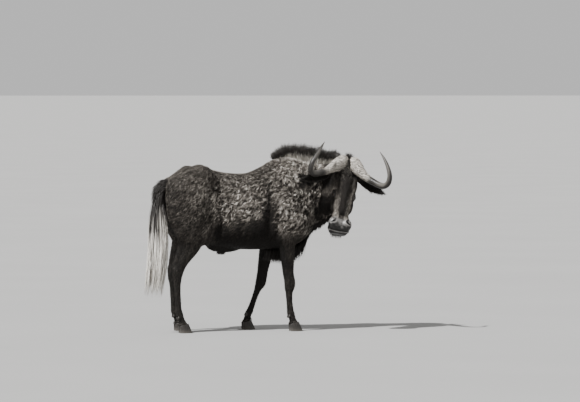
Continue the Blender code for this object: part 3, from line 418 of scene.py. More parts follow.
def bodySkins():
    skins = [trunkSkin(), neckSkin(), ball(*body["sheath"])]
    for side, sign in sides.items():
        skins.append(limbSkin(limbs["foreSizes"], limbs["foreAhead"][side],
                              sign * limbs["foreAside"]))
        skins.append(limbSkin(limbs["hindSizes"], hindAhead(side), sign * limbs["hindAside"]))
        for x, y, z, *radii in body["forms"]:
            skins.append(ball((x, sign * y, z), radii))
        elbow = limbs["foreAhead"][side][2]
        skins.append(ball((elbow - 0.050, sign * 0.140, 0.650), (0.040, 0.034, 0.060)))
        step = limbs["hindStep"][side]
        heel = Vector((-0.660 + step, sign * limbs["hindAside"], 0.428))
        knee = Vector((-0.590 + step * 0.5, sign * limbs["hindAside"], 0.640))
        skins.append(rod(heel, knee, 0.013, 0.036, 0.8, left))
        skins.append(rod(heel + up * 0.012, heel - up * 0.070, 0.016, 0.010, 1.1, left))
    return skins


def headSkins():
    rings = []
    for below, halfWidth, front, back, power, narrowing in smoothRows(headForm["rows"], 5):
        power -= headForm["rounding"] * math.exp(-((below - 0.29) / 0.10) ** 2)
        centre = facePoint(0.0, (front + back) / 2, -below)
        rings.append(section(centre, -aside, -faceOut, halfWidth, (front - back) / 2, power,
                             narrowing, 40))
    skins = [loft(rings)]
    for sign in sides.values():
        for x, y, z, *radii in headForm["forms"]:
            skins.append(ball(facePoint(sign * x, y, z), radii, faceTurn))
        centre, look, long, short = lidFrame(sign)
        skins.append(ball(centre - look * 0.0035, (eye["lid"],) * 3))
        for size, lift, start, end in eye["folds"]:
            rings = []
            for index in range(15):
                angle = start + (end - start) * index / 14
                spoke = (faceUp * math.sin(angle) * 0.80
                         + (faceOut - look * 0.3) * math.cos(angle)).normalized()
                radius = size * (0.3 + 0.7 * math.sin(math.pi * index / 14) ** 0.6)
                spot = centre + look * lift + spoke * (eye["radius"] + size * 0.9)
                rings.append(section(spot, spoke, look, radius, radius, 2.0, 0.0, 10))
            skins.append(loft(rings))
    return skins


def muzzlePath(tree, turns, levels):
    path = []
    for turn, level in zip(turns, levels):
        way = aside * math.sin(math.radians(turn)) + faceOut * math.cos(math.radians(turn))
        middle = facePoint(0.0, -0.060, level)
        place, normal, _, _ = tree.ray_cast(middle + way * 0.3, -way)
        path.append((*place, *normal))
    return [(Vector(row[:3]), Vector(row[3:]).normalized()) for row in smoothRows(path, 3)]


def groove(path, half, depth):
    rings = []
    last = len(path) - 1
    for index, (place, normal) in enumerate(path):
        before = path[max(index - 1, 0)][0]
        after = path[min(index + 1, last)][0]
        side = (after - before).cross(normal).normalized()
        share = 0.2 + 0.8 * math.sin(math.pi * index / last) ** 0.4
        rings.append([place + side * (half * share) + normal * 0.004,
                      place - side * (half * share) + normal * 0.004,
                      place - side * (half * share * 0.5) - normal * (depth * share * 0.8),
                      place - normal * (depth * share),
                      place + side * (half * share * 0.5) - normal * (depth * share * 0.8)])
    return loft(rings)


def roll(path, offset, radius, sink, tapered=True):
    rings = []
    last = len(path) - 1
    for index, (place, normal) in enumerate(path):
        before = path[max(index - 1, 0)][0]
        after = path[min(index + 1, last)][0]
        along = (after - before).normalized()
        side = along.cross(normal).normalized()
        if side.dot(faceUp) > 0:
            side = -side
        size = radius * (0.35 + 0.65 * math.sin(math.pi * index / last) ** 0.5)
        centre = place + side * offset - normal * sink
        rings.append(section(centre, side, normal, size, size, 2.0, 0.0, 10))
    return loft(rings)


def noise(p, size, seed):
    q = p / size
    base = np.floor(q).astype(np.int64)
    f = q - base
    f = f * f * (3 - 2 * f)
    total = np.zeros(len(p))
    for corner in range(8):
        step = np.array([corner & 1, corner >> 1 & 1, corner >> 2 & 1])
        i = base + step
        h = (i[:, 0] * 73856093 ^ i[:, 1] * 19349663 ^ i[:, 2] * 83492791 ^ seed * 2654435)
        h = (h ^ h >> 13) * 1274126177 & 0xffffffff
        h = (h ^ h >> 16) & 0xffff
        weight = np.prod(np.where(step, f, 1 - f), axis=1)
        total += weight * h / 65535
    return total * 2 - 1


def formLines(p):
    # folds of the neck behind the jaw, ribs, and the hollows behind the shoulder and before
    # the thigh
    x, y, z = p.T
    along = x * 0.55 - y * 0.83
    wave = np.sin(along * 205 + 1.3 * np.sin(z * 19) + 0.5 * np.sin(z * 57 + x * 40))
    wave = np.sign(wave) * np.abs(wave) ** 0.8
    folds = smoothStep(x, 0.27, 0.36) * smoothStep(-y, -0.02, 0.08)
    folds *= smoothStep(z, 0.74, 0.84) * (1 - smoothStep(z, 1.06, 1.14)) * (1 - headShare(p))
    rib = np.sin((x + (z - 0.85) * 0.25) * 92)
    ribs = smoothStep(x, -0.31, -0.24) * (1 - smoothStep(x, -0.06, 0.0))
    ribs *= smoothStep(z, 0.70, 0.78) * (1 - smoothStep(z, 0.98, 1.04))
    hollow = np.exp(-((x - 0.005 - 0.10 * (z - 0.80)) / 0.030) ** 2)
    hollow *= smoothStep(z, 0.62, 0.70) * (1 - smoothStep(z, 0.94, 1.06))
    thigh = np.exp(-((x + 0.322 + 0.20 * (z - 0.80) ** 2 * 8) / 0.024) ** 2)
    thigh *= smoothStep(z, 0.62, 0.70) * (1 - smoothStep(z, 0.98, 1.06))
    blade = np.exp(-((x - 0.115 - 0.25 * (z - 0.95)) / 0.022) ** 2)
    blade *= smoothStep(z, 0.86, 0.94) * (1 - smoothStep(z, 1.08, 1.14))
    bumps = noise(p, 0.11, 51) * 0.0022 * (1 - headShare(p)) * (1 - legShare(p))
    hips = np.exp(-((x + 0.430) / 0.030) ** 2) + 0.9 * np.exp(-((x + 0.545) / 0.028) ** 2)
    hips -= 0.7 * np.exp(-((x + 0.492) / 0.020) ** 2)
    hips *= smoothStep(z, 1.04, 1.11) * 0.008
    return (wave * folds * 0.0075 + rib * ribs * 0.0014 - 0.014 * hollow - 0.010 * thigh
            + 0.005 * blade + bumps + hips)


faceInverse = np.array(face.inverted())


def inFace(p):
    return p @ faceInverse[:3, :3].T + faceInverse[:3, 3]


def headShare(p):
    q = inFace(p)
    share = smoothStep(q[:, 1], -0.27, -0.21) * (1 - smoothStep(np.abs(q[:, 0]), 0.12, 0.16))
    return share * smoothStep(q[:, 2], -0.60, -0.54)


def legShare(p):
    return 1 - smoothStep(p[:, 2], 0.56, 0.70)


def coatDepth(p):
    depth = 0.0085 - 0.0050 * legShare(p)
    depth = depth + (0.0030 - depth) * headShare(p)
    return depth * (1 - bareShare(p)) * (1 - lidShare(p)) + 0.0002


def cutFace(skin):
    tree = treeOf(skin)
    mouth = muzzlePath(tree, headForm["mouthTurns"], headForm["mouthLevels"])
    boolean(skin, groove(mouth, 0.0022, 0.010), "DIFFERENCE")
    for sign in sides.values():
        turns = [sign * turn for turn in headForm["nostrilTurns"]]
        path = muzzlePath(tree, turns, headForm["nostrilLevels"])
        boolean(skin, groove(path, 0.0052, 0.020), "DIFFERENCE")
        centre, look, long, short = lidFrame(sign)
        boolean(skin, ball(centre, (eye["radius"] + 0.0003,) * 3, None, 48, 32), "DIFFERENCE")
        rings = []
        for reach in (0.006, 0.048):
            ring = []
            for index in range(40):
                ring.append(centre + lidWay(sign, 2 * math.pi * index / 40) * reach)
            rings.append(ring)
        boolean(skin, loft(rings), "DIFFERENCE")


def buildSkin():
    print("skin: body")
    rough = fuse("body", bodySkins(), body["voxel"], body["softening"],
                 lambda p: np.clip((p[:, 2] - body["slimBelow"]) / body["slimFade"],
                                   body["slimSoftness"], 1.0))
    print("skin: head")
    core = fuse("core", headSkins(), 0.005, 3)
    tree = treeOf(core)
    mouth = muzzlePath(tree, headForm["mouthTurns"], headForm["mouthLevels"])
    extra = [roll(mouth, 0.0075, 0.0080, 0.0030), roll(mouth, -0.0085, 0.0070, 0.0045)]
    for sign in sides.values():
        turns = [sign * turn for turn in headForm["nostrilTurns"]]
        path = muzzlePath(tree, turns, headForm["nostrilLevels"])
        extra.append(roll(path, -0.0085, 0.0060, 0.0030))
    skin = fuse("hide", [asSkin(rough), asSkin(core)] + extra, headForm["voxel"], 3)
    drop(rough)
    drop(core)
    p = places(skin)
    n = outward(skin)
    move = formLines(p) - coatDepth(p)
    skin.data.vertices.foreach_set("co", (p + n * move[:, None]).ravel())
    skin.data.update()
    cutFace(skin)
    for side in sides:
        boolean(skin, earSkin(side), "UNION")
    clearHooves(skin)
    print("skin:", len(skin.data.polygons), "faces before thinning")
    spare = skin.vertex_groups.new(name="thin")
    where = np.nonzero(headShare(places(skin)) < 0.02)[0]
    spare.add(where.tolist(), 1.0, "REPLACE")
    thin = skin.modifiers.new("thin", "DECIMATE")
    thin.ratio = 0.30
    thin.vertex_group = "thin"
    applyModifiers(skin)
    skin.vertex_groups.clear()
    print("skin:", sum(len(f.vertices) - 2 for f in skin.data.polygons), "triangles")
    return skin


hornForm = {
    # aside, ahead, above the brow, half height, half depth
    "rows": (
        (0.013, -0.043, -0.008, 0.040, 0.024), (0.036, -0.034, -0.009, 0.0565, 0.036),
        (0.070, -0.022, -0.026, 0.0490, 0.038), (0.108, -0.002, -0.054, 0.0355, 0.0345),
        (0.146, 0.022, -0.082, 0.0263, 0.0288), (0.184, 0.054, -0.100, 0.0230, 0.0240),
        (0.222, 0.092, -0.114, 0.0212, 0.0216), (0.253, 0.128, -0.113, 0.0203, 0.0203),
        (0.272, 0.150, -0.086, 0.0189, 0.0189), (0.274, 0.151, -0.038, 0.0164, 0.0164),
        (0.257, 0.130, 0.020, 0.0128, 0.0128), (0.229, 0.098, 0.074, 0.0079, 0.0079),
        (0.201, 0.072, 0.112, 0.0012, 0.0012),
    ),
    # how far each section is drawn in towards the head
    "drawnIn": {
        "right": (0.0, 0.0, 0.0, 0.0, 0.0, 0.0, 0.0, 0.0, 0.0, 0.008, 0.016, 0.010, 0.0),
        "left": (0.0, 0.004, 0.010, 0.012, 0.008, 0.004, 0.0, 0.0, 0.0, 0.002, 0.007, 0.012,
                 0.016),
    },
    "steps": 14,
    "sides": 72,
    "wrinkle": 0.0024,
}


def makeHorn(side):
    sign = sides[side]
    rows = [(row[0] - inward, *row[1:])
            for row, inward in zip(hornForm["rows"], hornForm["drawnIn"][side])]
    rows = smoothRows(rows, hornForm["steps"])
    points = [upright @ Vector((sign * row[0], row[1], row[2])) for row in rows]
    rings = []
    shares = []
    height = crown
    for index, row in enumerate(rows):
        before = points[max(index - 1, 0)]
        after = points[min(index + 1, len(points) - 1)]
        along = (after - before).normalized()
        height = (height - along * height.dot(along)).normalized()
        ring = section(points[index], along.cross(height), height, row[4], row[3], 2.1, 0.0,
                       hornForm["sides"])
        rings.append(ring)
        shares.append(index / (len(rows) - 1))
    piece = makeObject(f"horn_full_{side}", loft(rings))
    p = places(piece)
    n = outward(piece)
    middle = np.array([list(point) for point in points])
    share = np.repeat(shares, hornForm["sides"])
    centre = np.repeat(middle, hornForm["sides"], axis=0)
    boss = 1 - smoothStep(share + 0.02 * noise(centre, 0.03, 16), 0.24, 0.46)
    q = (p - np.array(headForm["brow"])) @ np.array([list(aside), list(heading), list(crown)]).T
    bent = q + 0.010 * np.stack([noise(q, 0.028, 90 + axis) for axis in range(3)], axis=1)
    across = bent[:, 2] + 0.30 * bent[:, 0] * sign
    ridges = 1 - 2 * np.abs(np.sin(across * 260 + 2.2 * noise(q, 0.035, 11))) ** 0.6
    pits = -np.clip(noise(bent, 0.012, 13) - 0.15, 0, 1) * 2.0
    lumps = noise(q, 0.026, 14)
    rings = np.sin(share * 260 + 1.5 * noise(q, 0.02, 15)) * smoothStep(share, 0.18, 0.34)
    rings = rings * (1 - smoothStep(share, 0.50, 0.70))
    end = smoothStep(share, 0.93, 1.0)
    crease = ridges * 0.40 + pits * 0.75 + lumps * 0.8
    move = boss * crease * hornForm["wrinkle"] + rings * 0.0005
    p = p + n * (move * (1 - end))[:, None]
    piece.data.vertices.foreach_set("co", p.ravel())
    # the stem is paler on its upper inner side from its bend up
    facing = unit(p - centre) @ np.array(-aside * sign * 0.7 + crown * 0.7)
    inner = smoothStep(facing + 0.2 * noise(q, 0.02, 17), -0.1, 0.8) * smoothStep(share, 0.42, 0.55)
    # painted shade in the pits of the boss and painted light on its ridges, following its relief
    depth = np.clip(0.5 + 0.35 * ridges + 0.5 * pits, 0, 1)
    paint = np.stack([inner, depth, boss], axis=1).astype(np.float32)
    store = piece.data.attributes.new("hair", "FLOAT_VECTOR", "POINT")
    store.data.foreach_set("vector", paint.ravel())
    piece.data.polygons.foreach_set("use_smooth", np.ones(len(piece.data.polygons), bool))
    return piece


claw = {
    "length": 0.088,
    "width": 0.036,
    "height": 0.058,
    "reach": 0.014,
    "cleft": 0.006,
    "slope": 0.268,
    "dewBehind": 0.042,
    "dewAside": 0.016,
    "dewHeight": 0.108,
}


def makeClaw(name, x, y):
    rings = []
    levels = 22
    for level in range(levels + 1):
        v = level / levels
        ring = []
        for index in range(48):
            angle = 2 * math.pi * index / 48
            rise = v
            for _ in range(4):
                halfLength = claw["length"] / 2 * (1 - 0.27 * rise)
                place = x + claw["reach"] * (1 - rise) + halfLength * math.cos(angle)
                top = claw["height"] + (place - x) * claw["slope"] - 0.0006
                rise = v * top / claw["height"]
            halfWidth = claw["width"] / 2 * (1 - 0.12 * rise)
            toe = 1 - 0.38 * ((math.cos(angle) + 1) / 2) ** 2
            z = v * top
            growth = 0.0005 * math.sin(z * 620 + math.cos(angle) * 1.2)
            swell = 1 - 0.030 * math.sin(math.pi * v) - 0.06 * (v < 0.03)
            wide = (halfWidth * toe * 1.12 + growth) * swell * math.sin(angle)
            long = (halfLength + growth) * (1 - 0.05 * (v < 0.03)) * math.cos(angle)
            ring.append(Vector((x + claw["reach"] * (1 - rise) + long, y + wide, z)))
        rings.append(ring)
    piece = makeObject(name, loft(rings))
    piece.data.polygons.foreach_set("use_smooth", np.ones(len(piece.data.polygons), bool))
    return piece


def legPlaces():
    found = []
    for side, sign in sides.items():
        found.append(("fore", side, sign, limbs["foreAhead"][side][-2], limbs["foreAside"]))
        found.append(("hind", side, sign, hindAhead(side)[-2], limbs["hindAside"]))
    return found


def hooves(tree):
    made = []
    for pair, side, sign, x, level in legPlaces():
        y = sign * level
        for name, way in (("inner", -sign), ("outer", sign)):
            off = way * (claw["width"] + claw["cleft"]) / 2
            piece = makeClaw(f"hoof_{pair}_{side}_{name}", x, y + off)
            made.append((piece, f"claw_{pair}_{side}_{name}"))
        dew = []
        for way in (-1, 1):
            start = Vector((x - 0.15, y + way * claw["dewAside"] * 0.8, claw["dewHeight"]))
            place, _, _, _ = tree.ray_cast(start, ahead)
            centre = place + Vector((0.002, way * 0.002, -0.004))
            lean = Matrix.Rotation(math.radians(24.0), 4, "Y")
            dew.append(ball(centre, (0.0092, 0.0078, 0.0150), lean, 20, 14))
        piece = joinSkins(f"dewclaws_{pair}_{side}", dew)
        piece.data.polygons.foreach_set("use_smooth", np.ones(len(piece.data.polygons), bool))
        made.append((piece, None))
    return made


def clearHooves(skin):
    # the legs end a little below the tops of the hooves
    cutters = []
    for pair, side, sign, x, level in legPlaces():
        box = bmesh.new()
        coronet = columns(Vector((0.966, 0.0, 0.259)), left, Vector((-0.259, 0.0, 0.966)),
                          Vector((x, sign * level, claw["height"] - 0.007)))
        bmesh.ops.create_cube(box, size=1.0, matrix=coronet @ Matrix.Translation(
            (0.0, 0.0, -0.05)) @ Matrix.Diagonal((0.18, 0.16, 0.1, 1.0)))
        cutters.append(box)
    boolean(skin, asSkinAndDrop(joinSkins("cut", cutters)), "DIFFERENCE")


def asSkinAndDrop(piece):
    skin = asSkin(piece)
    drop(piece)
    return skin


def lidFrame(sign):
    centre = facePoint(sign * eye["place"].x, eye["place"].y, eye["place"].z)
    look = aside * (sign * eye["look"].x) + faceOut * eye["look"].y + faceUp * eye["look"].z
    look.normalize()
    long = faceUp - faceOut * eye["slant"]
    long = (long - look * long.dot(look)).normalized()
    return centre, look, long, look.cross(long)


def lidWay(sign, angle):
    _, look, long, short = lidFrame(sign)
    across = math.copysign(abs(math.sin(angle)) ** 1.3, math.sin(angle))
    spoke = long * (math.cos(angle) * eye["length"]) + short * (across * eye["height"])
    return (look + spoke).normalized()


def makeLids(side):
    # the wet edges of the lids
    sign = sides[side]
    centre = lidFrame(sign)[0]
    rings = []
    for index in range(72):
        angle = 2 * math.pi * index / 72
        way = lidWay(sign, angle)
        away = lidWay(sign, angle + 0.01) - lidWay(sign, angle - 0.01)
        away = away.cross(way).normalized()
        if away.dot(way - lidFrame(sign)[1]) < 0:
            away = -away
        ring = []
        for turn in range(10):
            phase = 2 * math.pi * turn / 10
            ring.append(centre + way * (eye["radius"] + 0.0016 + 0.0022 * math.sin(phase))
                        + away * (0.0014 + 0.0022 * math.cos(phase)))
        rings.append(ring)
    piece = makeObject(f"lids_{side}", loft(rings, None, True))
    piece.data.polygons.foreach_set("use_smooth", np.ones(len(piece.data.polygons), bool))
    p = places(piece)
    paint = np.stack([np.full(len(p), 0.1), np.full(len(p), 0.5), markingsAndPaintedLight(p)], axis=1)
    store = piece.data.attributes.new("hair", "FLOAT_VECTOR", "POINT")
    store.data.foreach_set("vector", paint.astype(np.float32).ravel())
    return piece


def makeEye(side):
    centre, look, long, short = lidFrame(sides[side])
    turn = columns(long, short, look, Vector((0.0, 0.0, 0.0)))
    piece = makeObject(f"eyeball_{side}", ball(centre, (eye["radius"] - 0.0002,) * 3, turn,
                                               64, 40))
    p = places(piece) - np.array(centre)
    local = p @ np.array([list(long), list(short), list(look)]).T / eye["radius"]
    piece.data.polygons.foreach_set("use_smooth", np.ones(len(piece.data.polygons), bool))
    store = piece.data.attributes.new("hair", "FLOAT_VECTOR", "POINT")
    store.data.foreach_set("vector", local.astype(np.float32).ravel())
    return piece


def spread(p, x, z, halfX, halfZ, soft=0.4):
    # 1 inside an oval seen from the side, 0 outside it
    away = np.sqrt(((p[:, 0] - x) / halfX) ** 2 + ((p[:, 2] - z) / halfZ) ** 2)
    return 1 - smoothStep(away, 1 - soft, 1 + soft)


ear = {
    "root": Vector((0.060, -0.115, -0.085)),
    "tips": {"right": Vector((0.290, -0.090, -0.175)), "left": Vector((0.285, -0.090, -0.168))},
    # share of the way to the tip, half width, depth of the cup, thickness
    "rows": (
        (0.00, 0.017, 0.026, 0.022), (0.12, 0.018, 0.026, 0.020), (0.24, 0.025, 0.026, 0.010),
        (0.42, 0.034, 0.022, 0.0050), (0.62, 0.034, 0.017, 0.0040), (0.80, 0.025, 0.012, 0.0034),
        (0.93, 0.012, 0.008, 0.0028), (1.00, 0.002, 0.003, 0.0016),
    ),
    "inset": 0.0015,
}


def earLine(side):
    sign = sides[side]
    root = upright @ Vector((sign * ear["root"].x, ear["root"].y, ear["root"].z))
    tip = ear["tips"][side]
    return root, upright @ Vector((sign * tip.x, tip.y, tip.z))


def earFrame(side):
    root, tip = earLine(side)
    along = (tip - root).normalized()
    openWay = heading * 0.92 - crown * 0.38
    across = along.cross(openWay).normalized()
    return root, tip, along, across, across.cross(along).normalized()


def earSkin(side):
    root, tip, _, across, openWay = earFrame(side)
    rings = []
    for share, halfWidth, depth, thickness in smoothRows(ear["rows"], 5):
        centre = root.lerp(tip, share)
        half = max(halfWidth - ear["inset"], 0.0008)
        ring = []
        for inset, order in ((0.0, range(-8, 9)), (thickness, range(8, -9, -1))):
            for index in order:
                v = index / 8
                reach = math.sin(v * math.pi / 2)
                fall = max(depth - inset, 0.1 * depth) * (1 - v * v)
                ridge = 0.0016 * math.cos(v * 15) * share * (1 - share) * 4 if inset else 0.0
                ring.append(centre + across * (reach * (half - inset * 0.6))
                            - openWay * (fall - ridge))
        rings.append(ring)
    return loft(rings)


def earPart(p, side):
    root, tip = earLine(side)
    way = np.array(tip - root)
    long = np.linalg.norm(way)
    d = p - np.array(root)
    share = d @ way / long ** 2
    away = np.linalg.norm(d - np.outer(share, way), axis=1)
    inside = smoothStep(share, 0.20, 0.32) * (1 - smoothStep(share, 1.02, 1.08))
    return inside * (1 - smoothStep(away, 0.050, 0.056)), share


def warped(p, size, amount, seed):
    moved = p.copy()
    for axis in (0, 2):
        moved[:, axis] += amount * (noise(p, size, seed + axis)
                                    + 0.5 * noise(p, size * 0.4, seed + axis + 4))
    return moved


def curlShare(p):
    w = warped(p, 0.09, 0.03, 60)
    curl = 0.12 + 0.88 * smoothStep(w[:, 2], 0.72, 0.80)
    curl *= 0.40 + 0.60 * smoothStep(w[:, 0], -0.44, -0.33)
    topLine = smoothStep(w[:, 2], 1.02, 1.10) * (1 - smoothStep(w[:, 0], -0.02, 0.08))
    curl *= 1 - 0.6 * topLine
    chest = smoothStep(w[:, 0], 0.03, 0.10) * smoothStep(w[:, 2], 0.62, 0.70)
    curl = np.maximum(curl, chest)
    curl *= 1 - 0.85 * legShare(p)
    return curl * (1 - 0.7 * headShare(p))


def clumps(p):
    q = p * (1.0, 1.0, 0.65)
    return np.clip(0.35 * noise(q, 0.0150, 41) + 1.3 * noise(q, 0.0062, 42), -1.2, 1.2)


def markingsAndPaintedLight(p):
    # 0 is black, 1 is the palest grizzled brown; besides the coat's own tones, this holds painted
    # light and painted shade
    w = warped(p, 0.09, 0.035, 70)
    x, _, z = w.T
    tone = np.full(len(p), 0.33)
    # paler flank, shoulder, withers, haunch and croup: partly the coat's own paler tone, partly
    # painted light on the sides and tops that face the light
    tone += 0.18 * spread(w, -0.19, 0.91, 0.15, 0.155, 0.60)
    tone += 0.15 * spread(w, 0.19, 0.88, 0.15, 0.25, 0.50)
    tone += 0.16 * smoothStep(x, 0.02, 0.12) * smoothStep(z, 0.98, 1.08)
    tone += 0.24 * spread(w, -0.43, 0.93, 0.10, 0.10, 0.6)
    tone += 0.10 * spread(w, -0.50, 1.04, 0.14, 0.09, 0.6)
    # darker belly: partly darker coat, partly painted shade under the body
    belly = (1 - smoothStep(z, 0.715, 0.775)) * smoothStep(x, -0.42, -0.30)
    tone -= 0.32 * belly * (1 - smoothStep(x, 0.04, 0.12))
    # dark band behind the shoulder: partly darker coat, partly painted shade in the hollow there
    wide = 0.022 + 0.16 * np.clip(1.0 - z, 0, 0.4)
    behind = np.exp(-((x - 0.005) / wide) ** 2) * (1 - smoothStep(z, 0.88, 1.06))
    tone -= 0.80 * behind
    # painted shade in the furrow before the thigh
    tone -= 0.24 * np.exp(-((x + 0.335) / 0.030) ** 2) * (1 - smoothStep(z, 0.92, 1.05))
    tone -= 0.14 * (1 - smoothStep(x, -0.62, -0.50)) * (1 - smoothStep(z, 0.90, 1.05))
    tone -= 0.08 * legShare(p)
    # neck folds behind the jaw: painted light on the ridges of the folds and painted shade in their
    # grooves, over a darker neck
    throat = smoothStep(x, 0.30, 0.38) * smoothStep(-p[:, 1], -0.02, 0.08)
    along = p[:, 0] * 0.55 - p[:, 1] * 0.83
    wave = np.sin(along * 205 + 1.3 * np.sin(p[:, 2] * 19)
                  + 0.5 * np.sin(p[:, 2] * 57 + p[:, 0] * 40))
    throat *= (1 - headShare(p)) * (1 - smoothStep(z, 1.06, 1.14))
    tone += throat * (0.55 * wave - 0.22)
    tone -= 0.25 * smoothStep(x, 0.30, 0.40) * (1 - smoothStep(z, 0.74, 0.84)) * (
        1 - headShare(p))
    # painted highlights on the raised clumps of curly coat and painted shade in the gaps between
    # them
    tone += (0.14 + 0.44 * curlShare(p)) * clumps(p)
    crest = crestShare(p) * smoothStep(x, 0.12, 0.22)
    tone = tone * (1 - crest) + 1.30 * crest
    onHead = headShare(p)
    tone = tone * (1 - onHead) + faceTone(p) * onHead
    # dark ears: partly their own dark hair, partly painted shade under the horns
    for side in sides:
        part, _ = earPart(p, side)
        tone = tone * (1 - part) + 0.06 * part
    return np.clip(tone, 0.02, 1.3)


def crestShare(p):
    # the pale foot of the mane
    line = neckLine()
    away = np.min(np.linalg.norm(p[:, None, :2] - line[None], axis=2), axis=1)
    share = (1 - smoothStep(away, 0.022, 0.050)) * smoothStep(p[:, 2], 1.06, 1.12)
    return share * (1 - headShare(p)) * (1 - smoothStep(p[:, 2], 1.24, 1.30))


def faceTone(p):
    q = inFace(p)
    side, down = np.abs(q[:, 0]), -q[:, 2]
    tone = 0.30 + 0.24 * noise(p, 0.017, 75) + 0.20 * noise(p, 0.008, 76)
    # painted highlight: pale strips down both sides of the nose bridge
    bridge = smoothStep(side, 0.014, 0.024) * (1 - smoothStep(side, 0.052, 0.064))
    tone += 0.74 * bridge * smoothStep(down, 0.20, 0.26) * smoothStep(q[:, 1], -0.05, -0.02)
    tone -= 0.16 * (1 - smoothStep(down, 0.10, 0.16)) * (side < 0.2)
    # painted highlight along the brow over each eye
    brow = np.exp(-((down - 0.185) / 0.022) ** 2) * smoothStep(side, 0.045, 0.062)
    tone += 0.50 * brow
    tone -= 0.20 * smoothStep(-q[:, 1], 0.07, 0.12) * smoothStep(down, 0.05, 0.12)
    tone -= 0.18 * np.exp(-((down - 0.275) / 0.03) ** 2) * smoothStep(side, 0.04, 0.055)
    tone -= 0.22 * lidShare(p)
    bare = bareShare(p)
    return tone * (1 - bare) + muzzleTone(p) * bare


def muzzleTone(p):
    # dark skin with painted light and shade: a painted reflection on the top of the nose, painted
    # highlights along the lower lip's edge and round the nostrils' rims, painted shade in the
    # mouth's gap and inside the nostrils, and darker skin below the lower lip
    q = inFace(p)
    turn = np.degrees(np.arctan2(q[:, 0], q[:, 1] + 0.060))
    level = np.interp(turn, headForm["mouthTurns"], headForm["mouthLevels"])
    under = level - q[:, 2]
    tone = 0.10 + 0.20 * noise(p, 0.016, 77) + 0.14 * noise(p, 0.006, 78)
    # painted reflection on the top of the nose
    tone += 0.34 * smoothStep(q[:, 2], -0.462, -0.425)
    # painted highlight along the edge of the lower lip
    tone += 0.60 * np.exp(-((under - 0.0085) / 0.0026) ** 2)
    # painted shade in the mouth's gap under the upper lip
    tone -= 0.30 * np.exp(-((under + 0.002) / 0.0070) ** 2)
    tone -= 0.30 * smoothStep(under, 0.012, 0.018)
    path = smoothRows(list(zip(headForm["nostrilTurns"], headForm["nostrilLevels"])), 6)
    path = np.array(path) * (0.0013, 1.0)
    spots = np.stack([np.abs(turn) * 0.0013, q[:, 2]], axis=1)
    away = np.min(np.linalg.norm(spots[:, None] - path[None], axis=2), axis=1)
    # painted highlight round the nostrils' rims
    tone += 0.30 * np.exp(-((away - 0.0100) / 0.0030) ** 2)
    # painted shade inside the nostrils, which turn black
    return tone * smoothStep(away, 0.0040, 0.0070)


def lidShare(p):
    near = np.zeros(len(p))
    for sign in sides.values():
        centre = facePoint(sign * eye["place"].x, eye["place"].y, eye["place"].z)
        off = p - np.array(centre)
        away = np.linalg.norm(off, axis=1)
        turned = off @ np.array(lidFrame(sign)[1]) / np.maximum(away, 1e-6)
        open = smoothStep(turned, 0.50, 0.66) * (1 - smoothStep(away, 0.032, 0.038))
        near = np.maximum(near, open)
    return near


def bareShare(p):
    # the muzzle's naked skin round the nostrils and on the lips
    q = inFace(p)
    down = -q[:, 2] + 0.010 * noise(p, 0.02, 8)
    return smoothStep(down, 0.388, 0.410) * smoothStep(q[:, 1], -0.085, -0.06) * headShare(p)


def coatLie(p, n):
    d = np.tile([-0.80, 0.0, -0.60], (len(p), 1))
    legs = legShare(p)[:, None]
    d = d * (1 - legs) + np.array([-0.12, 0.0, -1.0]) * legs
    onNeck = smoothStep(p[:, 0], 0.20, 0.34)[:, None] * (1 - legs)
    d = d * (1 - onNeck) + np.array([-0.55, 0.25, -0.80]) * onNeck
    onHead = headShare(p)[:, None]
    q = inFace(p)
    back = smoothStep(-q[:, 1], 0.03, 0.12)[:, None]
    way = -np.array(faceUp) - np.array(faceOut) * 0.7 * back
    d = d * (1 - onHead) + way * onHead
    for side in sides:
        part, share = earPart(p, side)
        root, tip = earLine(side)
        d = d * (1 - part[:, None]) + np.array((tip - root).normalized()) * part[:, None]
    swirl = 0.5 * np.stack([noise(p, 0.022, 20 + axis) for axis in range(3)], axis=1)
    swirl += np.stack([noise(p, 0.0085, 30 + axis) for axis in range(3)], axis=1)
    d = d + swirl * (0.16 + 0.80 * curlShare(p))[:, None]
    d -= n * np.sum(d * n, axis=1)[:, None]
    return d / np.maximum(np.linalg.norm(d, axis=1), 1e-6)[:, None]


def unit(v):
    return v / np.maximum(np.linalg.norm(v, axis=-1, keepdims=True), 1e-9)


